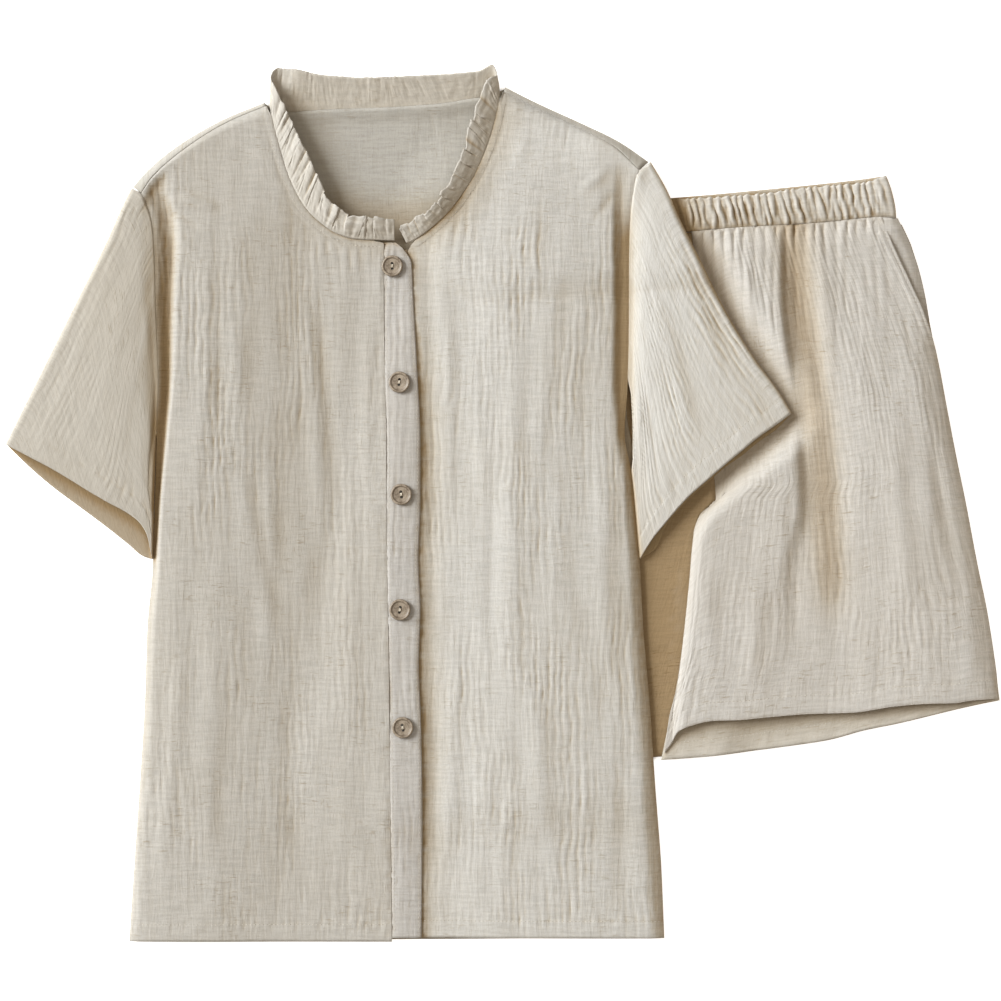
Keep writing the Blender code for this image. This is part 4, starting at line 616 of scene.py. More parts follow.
def sleeve(side, across_u, t):
    """The upper and the lower half of a sleeve, which share their two folded edges."""
    if side < 0:
        armhole, outer, inner = SLEEVE_RIGHT_ARMHOLE, SLEEVE_RIGHT_OUTER, SLEEVE_RIGHT_INNER
        cuffs, heights = (SLEEVE_RIGHT_CUFF_FRONT, SLEEVE_RIGHT_CUFF_BACK), SLEEVE_RIGHT_HEIGHTS
    else:
        armhole, outer, inner = SLEEVE_LEFT_ARMHOLE, SLEEVE_LEFT_OUTER, SLEEVE_LEFT_INNER
        cuffs, heights = (SLEEVE_LEFT_CUFF_FRONT, SLEEVE_LEFT_CUFF_BACK), SLEEVE_LEFT_HEIGHTS
    rows = np.array(heights)
    halves = []
    for upper, cuff in ((True, cuffs[0]), (False, cuffs[1])):
        p = coons(along(armhole, across_u), along(cuff, across_u), along(outer, t), along(inner, t))
        x, y = p[..., 0], p[..., 1]
        width = np.linalg.norm(np.diff(p, axis=1), axis=2).sum(axis=1)[:, None]
        near = np.minimum(across_u[None, :], 1.0 - across_u[None, :]) * width
        roll = np.sqrt(1.0 - (1.0 - np.clip(near / SLEEVE_EDGE_R, 0.0, 1.0)) ** 2)
        at = [monotone(t, rows[:, 0], rows[:, i])[:, None] for i in range(1, 6)]
        table = np.stack(np.broadcast_arrays(*[a + 0.0 * across_u[None, :] for a in at]), axis=-1)
        top = monotone(across_u[None, :] + 0.0 * table[..., 0], (0.0, 0.25, 0.5, 0.75, 1.0), table)
        bed = support(x, y)
        fold = 0.45 * np.minimum(top, 8.0)
        if upper:
            z = bed + fold + (top - WALL / 2 - fold) * roll
        else:
            z = bed + WALL / 2 + (fold - WALL / 2) * (1.0 - roll)
        halves.append(np.dstack([x, y, z]))
    return halves


def placket(v, u, top):
    """The right placket, on top, or the left one under it."""
    rows = np.array(PLACKET)
    y_top = 208.4 if top else 203.0
    y = -347.4 + (y_top + 347.4) * v
    a = monotone(y, rows[:, 0], rows[:, 1])
    b = monotone(y, rows[:, 0], rows[:, 2])
    if not top:
        seam = np.array(FRONT_LEFT)
        a = a + 1.4
        b = monotone(np.minimum(y, 199.0), seam[:, 4], seam[:, 3]) - SEAM_GAP
    x = a[:, None] + (b - a)[:, None] * u[None, :]
    y = np.broadcast_to(y[:, None], x.shape)
    rise = PLACKET_RISE if top else -PLACKET_DROP
    return np.dstack([x, y, support(x, y) + body_height(x, y) + rise - PLACKET_WALL / 2])


def ruffle(s, w, pleat):
    """The neck frill at s round the neck and w from its seam (0) to its free edge (1)."""
    rows = np.array(RUFFLE)
    base = np.stack([monotone(s, rows[:, 0], rows[:, i]) for i in (1, 2, 3)], axis=-1)
    edge = np.stack([monotone(s, rows[:, 0], rows[:, i]) for i in (4, 5, 6)], axis=-1)
    lift = support(base[:, 0], base[:, 1])
    base[:, 2] += lift
    edge[:, 2] += lift
    p = base[None] + (edge - base)[None] * w[:, None, None]
    p[..., 2] += pleat[None, :] * w[:, None]
    return p


def shorts_left_front(u, v):
    left, right = track(SHORTS_LEFT_FRONT, 1, v), track(SHORTS_LEFT_FRONT, 3, v)
    hem = along(LEG_HEM_FRONT, u)
    waist = along(WAIST_SEAM[2:9], u) + (0.0, -0.5)
    waist = waist + (left[-1] - waist[0]) * (1 - u[:, None]) + (right[-1] - waist[-1]) * u[:, None]
    p = coons(hem, waist, left, right)
    x, y = p[..., 0], p[..., 1]
    return np.dstack([x, y, leg_height(x, y) - WALL / 2])


def shorts_left_back(u, v):
    left, right = track(SHORTS_LEFT_BACK, 1, v), track(SHORTS_LEFT_BACK, 3, v)
    hem = along(LEG_HEM_BACK, u)
    waist = along(WAIST_SEAM[2:], u) + (0.0, -0.8)
    waist = waist + (left[-1] - waist[0]) * (1 - u[:, None]) + (right[-1] - waist[-1]) * u[:, None]
    p = coons(hem, waist, left, right)
    x, y = p[..., 0], p[..., 1]
    return np.dstack([x, y, leg_support(x, y) + WALL / 2])


def shorts_right(u, v, front):
    left, right = track(SHORTS_RIGHT, 1, v), track(SHORTS_RIGHT, 3, v)
    if front:
        # the slant of the pocket mouth cuts the front's upper outer corner
        cut = np.clip((v - 0.86) / 0.14, 0.0, 1.0)
        left = left + np.stack([11.4 * cut, 0.6 * cut], axis=-1)
    hem = left[0] + (right[0] - left[0]) * u[:, None]
    waist = along(WAIST_SEAM[:3], u) + (0.0, -0.5)
    waist = waist + (left[-1] - waist[0]) * (1 - u[:, None]) + (right[-1] - waist[-1]) * u[:, None]
    p = coons(hem, waist, left, right)
    x, y = p[..., 0], p[..., 1]
    if not front:
        y = y - 1.2 * (1.0 - smooth((y + 215.0) / 20.0))
    z = np.full(x.shape, WALL / 2 + (WALL + LAYER_GAP if front else 0.0))
    return np.dstack([x, y, z])


def pocket(table, u, v, level):
    left, right = track(table, 1, v), track(table, 3, v)
    x = left[:, None, 0] + (right - left)[:, None, 0] * u[None, :]
    y = left[:, None, 1] + (right - left)[:, None, 1] * u[None, :]
    return np.dstack([x, y, np.full(x.shape, level + WALL / 2)])


def waistband(u, v, gather):
    """The upper and the lower half of the waistband, which share its two ends."""
    halves = []
    for upper, top in ((True, BAND_TOP_FRONT), (False, BAND_TOP_BACK)):
        p = coons(along(WAIST_SEAM, u), along(top, u), along(BAND_RIGHT_END, v), along(BAND_LEFT_END, v))
        x, y = p[..., 0], p[..., 1]
        length = np.linalg.norm(np.diff(p, axis=1), axis=2).sum(axis=1)[:, None]
        near = np.minimum(u[None, :], 1.0 - u[None, :]) * length
        roll = np.sqrt(1.0 - (1.0 - np.clip(near / 3.0, 0.0, 1.0)) ** 2)
        free = smooth(outside(x, y, SHIRT_OUTLINE) / 14.0)
        middle = 1.0 - (2.0 * v[:, None] - 1.0) ** 2
        top_z = BAND_STACK - LAYER_GAP - BAND_GATHER_H - BAND_WALL / 2 + free * (2.4 + 1.2 * middle)
        low_z = BAND_WALL / 2
        fold = 0.5 * (top_z + low_z)
        if upper:
            z = fold + (top_z - fold) * roll + gather[None, :] * roll * (0.45 + 0.55 * free)
        else:
            z = low_z + (fold - low_z) * (1.0 - roll)
        halves.append(np.dstack([x, y, z]))
    return halves


# ================================================================ the fine surface
GRID_ACROSS = 1.6     # spacing of the visible panels' points across the crinkle
GRID_ALONG = 2.75     # and along it
PRESS_REACH = 5.0     # the fine grid lets the shorts rise closer to the sleeve's edge
PRESS_RAMP = 22.0
CRINKLE_H = 0.4      # half height of the crinkles
CRINKLE_PITCH = 5.7
STITCH_LENGTH = 2.3
STITCH_PITCH = 3.1
STITCH_WIDTH = 0.5
KEY_AZIMUTH = 158.0   # where the window light comes from, counted from +X towards +Y
KEY_ELEVATION = 26.0

# The fronts' and the leg's sections again, with the folds' steep sides
BODY = (
    (-350, 3.0, 2.0, 4.4, 8.0, 6.2, -245, 8.2, -165, 6.4, 7.2, 7.4, -50, 6.2, 5, 8.4, 12, 6.6, 4, 4.6, 3.0),
    (-250, 3.0, 2.0, 5.0, 8.0, 7.6, -240, 10.0, -145, 7.0, 8.2, 8.4, -51, 6.6, 6, 10.4, 13, 7.6, 4, 5.2, 3.0),
    (-110, 3.0, 2.0, 5.0, 7.0, 7.8, -232, 10.2, -140, 7.0, 8.2, 8.4, -52, 6.6, 8, 10.8, 12, 7.8, 4, 5.2, 3.0),
    (-50, 3.0, 2.0, 4.2, 6.0, 8.4, -228, 10.4, -140, 7.0, 8.2, 8.4, -52, 6.6, 9, 11.0, 10, 8.4, 4, 6.0, 3.4),
    (0, 3.0, 3.2, 3.2, 7.0, 9.0, -226, 10.6, -140, 7.2, 8.2, 8.4, -53, 6.6, 10, 11.2, 10, 8.8, 4, 6.4, 3.6),
    (58, 6.2, 6.0, 3.0, 10.5, 9.8, -224, 10.8, -142, 7.0, 8.2, 8.4, -53, 6.6, 10, 11.2, 9, 8.8, 3, 6.0, 4.6),
    (98, 7.4, 7.5, 3.0, 13.0, 10.2, -222, 10.8, -144, 7.2, 8.2, 8.4, -53, 6.8, 9, 11.2, 14, 9.0, 6, 4.2, 3.6),
    (162, 7.6, 10.5, 3.0, 17.5, 10.2, -222, 11.0, -146, 7.2, 8.4, 8.6, -53, 6.8, 9, 11.2, 15, 9.0, 6.5, 4.0, 3.6),
    (212, 7.6, 13.5, 3.4, 22.0, 10.0, -218, 10.6, -150, 7.6, 8.4, 8.6, -52, 7.2, 11, 10.8, 15, 8.8, 7, 4.8, 4.2),
    (249, 7.4, 13.0, 6.2, 25.0, 9.4, -214, 9.8, -150, 8.2, 8.6, 8.8, -50, 8.0, 14, 10.0, 18, 8.8, 9, 6.6, 7.2),
)
LEG = (
    (-200, 5.9, 2.5, 8.4, 9, 10.4, 176, 10.6, 214, 9.4, 262, 8.4, 300, 8.8, 330, 8.8, 18, 6.8, 5, 4.6, 2.7),
    (-130, 5.9, 2.5, 9.0, 9, 11.4, 190, 11.2, 224, 9.8, 266, 8.4, 298, 9.4, 334, 9.8, 16, 7.2, 5, 4.8, 2.7),
    (-60, 5.9, 2.5, 9.4, 9, 11.8, 214, 11.6, 238, 9.4, 264, 8.4, 288, 9.8, 318, 10.6, 14, 7.6, 5, 5.0, 2.7),
    (0, 5.9, 3.0, 9.0, 10, 11.6, 233, 12.0, 244, 8.4, 262, 7.9, 284, 10.0, 310, 11.0, 14, 7.8, 5, 5.2, 2.7),
    (60, 6.0, 3.0, 7.6, 12, 9.4, 230, 12.4, 239, 7.8, 258, 7.4, 280, 10.0, 304, 11.0, 14, 8.0, 5, 5.4, 2.7),
    (110, 6.4, 3.0, 7.2, 14, 8.6, 225, 12.4, 233, 7.6, 250, 7.2, 270, 10.2, 294, 10.8, 14, 8.2, 5, 5.6, 2.9),
    (160, 6.8, 3.0, 7.2, 14, 8.4, 220, 11.6, 228, 7.4, 240, 7.4, 256, 9.9, 284, 10.3, 14, 9.0, 5, 8.6, 8.2),
    (210, 6.8, 3.0, 7.0, 14, 8.0, 218, 9.8, 226, 7.0, 236, 7.4, 248, 8.8, 278, 8.8, 14, 8.6, 5, 8.4, 8.2),
    (232, 6.6, 3.0, 6.8, 14, 7.4, 216, 8.0, 229, 7.2, 238, 7.4, 252, 7.8, 276, 7.8, 14, 7.8, 5, 7.8, 7.6),
)
SHORTS_LEFT_BACK = (
    (0.00, 126.6, -205.4, 397.8, -157.8),
    (0.06, 130.6, -186.0, 396.4, -145.0),
    (0.10, 133.6, -172.0, 395.6, -136.0),
    (0.20, 139.6, -148.0, 393.2, -118.0),
    (0.35, 145.2, -108.0, 388.4, -88.0),
    (0.50, 150.0, -62.0, 380.2, -48.0),
    (0.60, 153.4, -26.0, 374.6, -18.0),
    (0.66, 159.0, -9.0, 370.0, 6.0),
    (0.71, 171.4, 3.0, 364.6, 32.0),
    (0.79, 166.8, 48.0, 356.4, 74.0),
    (0.86, 162.4, 98.0, 345.8, 126.0),
    (0.91, 158.0, 150.0, 341.0, 150.0),
    (0.95, 154.8, 185.0, 335.2, 178.0),
    (0.98, 152.4, 205.0, 327.6, 206.0),
    (1.00, 151.2, 217.2, 319.6, 223.6),
)

SLEEVE_RIGHT_HEIGHTS = (
    (0.00, 8.0, 7.6, 7.4, 7.2, 6.4),
    (0.05, 8.6, 8.8, 8.6, 7.8, 6.6),
    (0.14, 9.0, 10.0, 10.2, 8.8, 7.0),
    (0.35, 8.6, 10.6, 11.0, 10.0, 7.8),
    (0.70, 7.6, 9.6, 10.2, 9.4, 7.4),
    (1.00, 5.2, 7.6, 8.4, 8.0, 6.0),
)
SHORTS_RIGHT = (
    (0.00, -112.0, -217.0, 162.0, -200.4),
    (0.20, -96.0, -140.0, 166.0, -137.0),
    (0.38, -80.0, -70.0, 164.0, -82.0),
    (0.48, -69.0, -18.0, 160.0, -45.0),
    (0.56, -62.0, 5.0, 158.0, -14.0),
    (0.63, -55.0, 38.0, 169.0, 3.2),
    (0.76, -40.0, 96.0, 166.0, 48.0),
    (0.88, -27.0, 150.0, 159.4, 125.0),
    (1.00, -15.0, 205.6, 150.6, 217.2),
)

# Creases of the shirt's body, seen in its surface as soft ridges (height over 0) and troughs (under 0)
BODY_CREASES = (
    # x0,     y0,     x1,     y1,   half_width, height
    (-238.0, 236.0, -246.0, -10.0, 7.0, 0.8),
    (-215.0, 180.0, -200.0, -70.0, 8.0, 0.8),
    (-188.0, 130.0, -196.0, -210.0, 7.0, 0.6),
    (-163.0, 190.0, -148.0, -45.0, 6.0, 0.6),
    (-222.0, -75.0, -240.0, -320.0, 9.0, 0.8),
    (-131.0, 60.0, -121.0, -240.0, 7.0, 0.6),
    (-262.0, -110.0, -270.0, -318.0, 6.0, 0.6),
    (-203.0, 60.0, -178.0, -112.0, 6.0, -0.7),
    (-146.0, 190.0, -134.0, -14.0, 6.0, -0.7),
    (-176.0, -120.0, -168.0, -330.0, 9.0, -0.6),
    (-112.0, 150.0, -108.0, 10.0, 5.0, 0.5),
    (-49.0, 176.0, -40.0, -46.0, 5.0, 0.8),
    (-26.0, 160.0, -19.0, -16.0, 6.0, 0.7),
    (2.0, 138.0, 14.0, -118.0, 8.0, 0.9),
    (46.0, 240.0, 30.0, 20.0, 8.0, 0.7),
    (-38.0, -78.0, -50.0, -318.0, 7.0, 0.8),
    (22.0, -94.0, 46.0, -318.0, 9.0, 0.8),
    (78.0, 66.0, 88.0, -156.0, 7.0, 0.7),
    (66.0, 160.0, 70.0, -46.0, 7.0, -0.8),
    (-10.0, 60.0, -4.0, -160.0, 5.0, -0.6),
    (4.0, -190.0, -12.0, -340.0, 6.0, -0.6),
    (88.0, -180.0, 98.0, -340.0, 7.0, -0.5),
    (-262.0, 246.0, -226.0, 236.0, 3.6, 0.9),
    (-270.0, 236.0, -240.0, 218.0, 3.4, -0.7),
    (-272.0, 226.0, -246.0, 200.0, 3.6, 0.7),
    (84.0, 268.0, 60.0, 246.0, 4.0, 0.7),
    (92.0, 250.0, 70.0, 222.0, 4.0, -0.6),
    (20.0, 300.0, 8.0, 262.0, 5.0, 0.5),
)
LEG_CREASES = (
    (171.0, 196.0, 166.0, 138.0, 4.0, 0.8),
    (194.0, 210.0, 200.0, 82.0, 6.0, 0.9),
    (232.0, 214.0, 238.0, 58.0, 5.0, -0.8),
    (252.0, 214.0, 262.0, 66.0, 6.0, 0.8),
    (322.0, 138.0, 350.0, -46.0, 7.0, 0.8),
    (302.0, 66.0, 330.0, -110.0, 8.0, 0.7),
    (344.0, 60.0, 366.0, -90.0, 5.0, -0.7),
    (158.0, -46.0, 168.0, -150.0, 7.0, 0.7),
    (206.0, -46.0, 196.0, -158.0, 8.0, 0.8),
    (226.0, 20.0, 232.0, -120.0, 6.0, -0.6),
    (280.0, -60.0, 296.0, -160.0, 9.0, 0.6),
    (366.0, -60.0, 378.0, -150.0, 6.0, 0.6),
    (180.0, 100.0, 186.0, 20.0, 6.0, 0.5),
)
SLEEVE_CREASES = (
    # seen from above, both sleeves
    (-300.0, 226.0, -352.0, 84.0, 6.0, 0.8),
    (-291.0, 190.0, -324.0, 50.0, 7.0, 0.7),
    (-287.0, 140.0, -300.0, 18.0, 6.0, -0.6),
    (-330.0, 150.0, -372.0, 58.0, 5.0, -0.6),
    (-312.0, 120.0, -340.0, 30.0, 5.0, 0.5),
    (126.0, 222.0, 176.0, 96.0, 7.0, 0.8),
    (114.0, 170.0, 152.0, 50.0, 7.0, 0.8),
    (112.0, 110.0, 128.0, 10.0, 6.0, -0.7),
    (150.0, 180.0, 196.0, 86.0, 6.0, -0.6),
    (120.0, 60.0, 132.0, 0.0, 4.0, 0.6),
)


def noise(x, y, seed):
    """Gradient noise from -1 to 1 on a wrapped lattice."""
    turn = np.random.default_rng(seed).uniform(0.0, 2.0 * math.pi, (64, 64))
    gx, gy = np.cos(turn), np.sin(turn)
    x, y = np.asarray(x, float), np.asarray(y, float)
    xi, yi = np.floor(x).astype(int), np.floor(y).astype(int)
    xf, yf = x - xi, y - yi
    u = xf**3 * (xf * (xf * 6 - 15) + 10)
    v = yf**3 * (yf * (yf * 6 - 15) + 10)

    def corner(i, j):
        a, b = (xi + i) % 64, (yi + j) % 64
        return gx[a, b] * (xf - i) + gy[a, b] * (yf - j)

    low = corner(0, 0) * (1 - u) + corner(1, 0) * u
    high = corner(0, 1) * (1 - u) + corner(1, 1) * u
    return 1.6 * (low * (1 - v) + high * v)


def crinkle(u, v, seed=3):
    """The crinkle of double gauze: rounded ridges along v with sharp creases between them, which wander, break up
    into beads, and fade in and out."""
    w = u + 5.0 * noise(u / 55.0, v / 130.0, seed) + 2.2 * noise(u / 15.0, v / 27.0, seed + 1) + 0.5 * noise(u / 5.0, v / 7.5, seed + 4)
    ridge = 2.0 * np.abs(np.cos(math.pi * w / CRINKLE_PITCH)) ** 0.9 - 1.25
    b = noise(u / (CRINKLE_PITCH * 1.5) + 7.3, v / 60.0, seed + 3)
    broad = 1.0 - 2.0 * np.sqrt(b * b + 0.02)
    bead = 0.75 + 0.75 * noise(u / 6.0, v / 11.0, seed + 6)
    patch = 0.6 + 1.1 * noise(u / 36.0, v / 100.0, seed + 5)
    return (0.72 * ridge * bead + 0.42 * broad + 0.25 * noise(u / 3.0, v / 6.0, seed + 2)) * np.clip(patch, 0.16, 1.35)


def undulation(u, v, seed=11):
    return 0.4 * noise(u / 17.0, v / 60.0, seed) + 0.35 * noise(u / 34.0, v / 110.0, seed + 1)


def creases(x, y, table):
    total = np.zeros(np.shape(x))
    for x0, y0, x1, y1, width, height in table:
        ex, ey = x1 - x0, y1 - y0
        length = math.hypot(ex, ey)
        t = ((x - x0) * ex + (y - y0) * ey) / length**2
        bend = 0.05 * length * np.sin(2.6 * np.clip(t, 0, 1) + x0)
        side = ((x - x0) * ey - (y - y0) * ex) / length + 0.35 * bend
        fade = smooth(t / 0.3) * smooth((1.0 - t) / 0.3)
        total = total + height * fade * np.exp(-((side / width) ** 2))
    return total


def shares(length, spacing, roll=0.0):
    """Shares of the way across a panel: spaced evenly, and closer where the cloth rolls over at its two ends."""
    count = max(3, int(round(length / spacing)))
    even = np.linspace(0.0, 1.0, count + 1)
    if not roll:
        return even
    extra = roll * np.array((0.06, 0.16, 0.3, 0.5, 0.75)) / length
    return np.unique(np.concatenate([even, extra, 1.0 - extra]))


def distances(p):
    """For each point of a grid, its distance along the surface from the first and last column and row."""
    step = np.linalg.norm(np.diff(p, axis=1), axis=2)
    left = np.concatenate([np.zeros((p.shape[0], 1)), np.cumsum(step, axis=1)], axis=1)
    step = np.linalg.norm(np.diff(p, axis=0), axis=2)
    bottom = np.concatenate([np.zeros((1, p.shape[1])), np.cumsum(step, axis=0)], axis=0)
    return left, left[:, -1:] - left, bottom, bottom[-1:] - bottom


def denser(line, times=8):
    """The same line with points between its points."""
    at = np.arange(len(line), dtype=float)
    fine = np.linspace(0.0, len(line) - 1.0, times * (len(line) - 1) + 1)
    return np.stack([np.interp(fine, at, line[:, i]) for i in range(line.shape[1])], axis=-1)


def evened(values, width=3):
    padded = np.concatenate([np.repeat(values[:1], width, 0), values, np.repeat(values[-1:], width, 0)])
    kernel = np.ones(2 * width + 1) / (2 * width + 1)
    return np.stack([np.convolve(padded[:, i], kernel, "valid") for i in range(values.shape[1])], axis=-1)


def close_seam(p, side, other, leave=0.3, most=4.0, taper=7.0, level=0.0):
    """Draws one edge of a grid up to the line of the piece beside it, so that little of a gap is left along the seam.
    Over the last `level` millimetres it also comes to that line's own height, where the line has one."""
    view = {"left": p, "right": p[:, ::-1], "bottom": p.transpose(1, 0, 2), "top": p[::-1].transpose(1, 0, 2)}[side]
    line = denser(other)
    edge = view[:, 0, :2].copy()
    away = line[None, :, :2] - edge[:, None]
    nearest = np.linalg.norm(away, axis=2)
    k = nearest.argmin(axis=1)
    gap = nearest[np.arange(len(edge)), k]
    move = away[np.arange(len(edge)), k] / np.maximum(gap, 1e-6)[:, None] * np.clip(gap - leave, 0.0, None)[:, None]
    near = smooth((most - gap) / (0.25 * most))[:, None]
    move *= near
    even = evened(move)
    run = np.concatenate([np.zeros((len(edge), 1)), np.cumsum(np.linalg.norm(np.diff(view, axis=1), axis=2), axis=1)], axis=1)
    view[..., :2] += even[:, None] * smooth(1.0 - run / taper)[..., None]
    if level:
        rise = evened((line[k, 2] - view[:, 0, 2])[:, None] * near)
        view[..., 2] += rise * smooth(1.0 - run / level)


def groove(d, at, depth=0.2, width=0.75):
    return -depth * np.exp(-(((d - at) / width) ** 2))


def hem(d, at, rise=0.22):
    """The turned hem: a second layer up to the stitch line, and the stitch's own groove."""
    return rise * (1.0 - smooth((d - at + 0.6) / 1.2)) + groove(d, at)


def pucker(along_mm, d, at, seed, height=0.16):
    """Small gathers that a row of stitches pulls into the cloth."""
    return height * noise(along_mm / 4.6, d / 9.0, seed) * 2.0 * np.exp(-(((d - at) / 5.0) ** 2))


def normals_of(p):
    du = np.gradient(p, axis=1)
    dv = np.gradient(p, axis=0)
    n = np.cross(du, dv)
    return n / np.maximum(np.linalg.norm(n, axis=2, keepdims=True), 1e-9)


def seam_distance(p, line):
    """The distance of each point of a grid from a line, as seen from above."""
    line = denser(line[:, :2], 3)
    flat = p[..., :2].reshape(-1, 2)
    best = np.full(len(flat), np.inf)
    for x, y in line:
        best = np.minimum(best, (flat[:, 0] - x) ** 2 + (flat[:, 1] - y) ** 2)
    return np.sqrt(best).reshape(p.shape[:2])


def neck_seam():
    """The line along which the frill is sewn on."""
    rows = np.array(RUFFLE)
    s = np.linspace(0.0, 1.0, 400)
    return np.stack([monotone(s, rows[:, 0], rows[:, i]) for i in (1, 2)], axis=-1)


def on_cloth(grid, line, lift):
    """The points of a line laid on a grid, and the grid's normals there."""
    n = normals_of(grid)
    flat, up = grid.reshape(-1, 3), n.reshape(-1, 3)
    near = np.array([((flat[:, 0] - x) ** 2 + (flat[:, 1] - y) ** 2).argmin() for x, y in line])
    z = np.interp(np.arange(len(line)), np.arange(len(line)), flat[near, 2])
    z = np.convolve(np.pad(z, 2, mode="edge"), np.ones(5) / 5.0, "valid")
    return np.column_stack([line, z]) + up[near] * lift, up[near]


def beside(line, by):
    """The line moved sideways, to its right for a positive distance."""
    way = np.gradient(line, axis=0)
    way /= np.linalg.norm(way, axis=1, keepdims=True)
    return line + np.column_stack([way[:, 1], -way[:, 0]]) * by


# ---------------------------------------------------------------- the pieces' fine grids
def fine_front(side):
    u = shares(210.0, GRID_ACROSS, 6.0)
    v = shares(680.0, GRID_ALONG)
    p = front_right(u, v) if side < 0 else front_left(u, v)
    high = v > 0.87
    stand = placket(np.linspace(0.0, 1.0, 200), np.array((0.0, 1.0)), side < 0)
    low = p[~high]
    close_seam(low, "right" if side < 0 else "left", stand[:, 0 if side < 0 else 1, :2], 0.15, 2.0, 5.0)
    high_part = p[high]
    before = high_part[0].copy()
    close_seam(high_part, "right" if side < 0 else "left", neck_seam(), 0.12, 4.0, 6.0)
    # what the neck seam moves eases out below the neck, and not beside the placket
    moved = high_part[0] - before
    from_stand = np.abs(before[:, 0] - before[-1 if side < 0 else 0, 0])
    for k in range(min(26, len(low))):
        low[-1 - k] += moved * ((1.0 - smooth((k + 1) / 27.0)) * smooth(from_stand / 8.0))[:, None]
    p = np.concatenate([low, high_part])
    close_seam(p, "top", shoulder_seams[0 if side < 0 else 1], 0.05, 5.0, 7.0, 9.0)
    left, right, bottom, top = distances(p)
    x, y = p[..., 0].copy(), p[..., 1].copy()
    neck_d = seam_distance(p, neck_seam())
    outer, inner = (left, right) if side < 0 else (right, left)
    neck = smooth((v[:, None] - 0.855) / 0.01)
    arm = smooth((y - 62.0) / 12.0)
    calm = smooth(outer / 7.0) * (0.35 + 0.65 * smooth(inner / 5.0)) * smooth((neck_d - 4.5) / 7.5) * smooth(top / 6.0) * (0.4 + 0.6 * smooth((bottom - 3.0) / 14.0))
    # the crinkles stand highest over the chest on the right and down the middle of the left
    bold = 0.8 + (0.6 * np.exp(-(((x + 232.0) / 28.0) ** 2)) * smooth((y + 60.0) / 120.0) if side < 0 else 0.45 * np.exp(-(((x - 12.0) / 42.0) ** 2)))
    z = calm * bold * CRINKLE_H * crinkle(x, y, 3 if side < 0 else 31)
    z += calm * undulation(x, y, 11 if side < 0 else 41)
    z += smooth(outer / 14.0) * smooth(inner / 10.0) * creases(x, y, BODY_CREASES)
    z += hem(bottom, 13.6) + pucker(x, bottom, 13.6, 51)
    # neck: the seam allowance is stitched down beside the frill
    z += 0.34 * (1.0 - smooth((neck_d - 3.8) / 2.6)) + pucker(y + x, neck_d, 6.0, 52, 0.14) - 0.35 * np.exp(-((neck_d / 1.0) ** 2))
    # gathers that run down from the neck seam
    z += neck_fan(x, y, side) * smooth((neck_d - 5.0) / 7.0)
    # armhole: the allowance makes a low welt beside the seam
    z += arm * 0.3 * np.exp(-(((outer - 3.6) / 2.6) ** 2)) * smooth(outer / 2.0)
    z += 0.25 * np.exp(-(((top - 3.4) / 2.8) ** 2)) * smooth(top / 2.0)
    # placket seam
    z += (1.0 - neck) * (-0.15 * np.exp(-((inner / 1.2) ** 2)) + pucker(y, inner, 3.0, 53, 0.2))
    p[..., 2] += z
    # painted shade: darker where the cloth turns down beside the armhole seam, in the valley under the sleeve
    turned = (0.85 if side > 0 else 0.1) * (1.0 - smooth((outer - 1.5) / 8.0)) * smooth((y - 44.0) / 24.0) * smooth((236.0 - y) / 40.0)
    return p, np.dstack([x, y]), turned


def neck_fan(x, y, side):
    """Soft pleats that fall from the neck seam beside the placket."""
    if side > 0:
        centre, spread_mm, reach = -40.0, 26.0, 46.0
    else:
        centre, spread_mm, reach = -128.0, 30.0, 70.0
    fall = smooth((y - (225.0 - reach)) / reach) * np.exp(-(((x - centre) / spread_mm) ** 2))
    lean = 0.10 * (225.0 - y) * (1.0 if side < 0 else -1.0)
    return 0.42 * fall * (2.0 * np.abs(np.cos(math.pi * (x - lean + 1.6 * noise(x / 15.0, y / 60.0, 58)) / 8.6)) - 1.1)


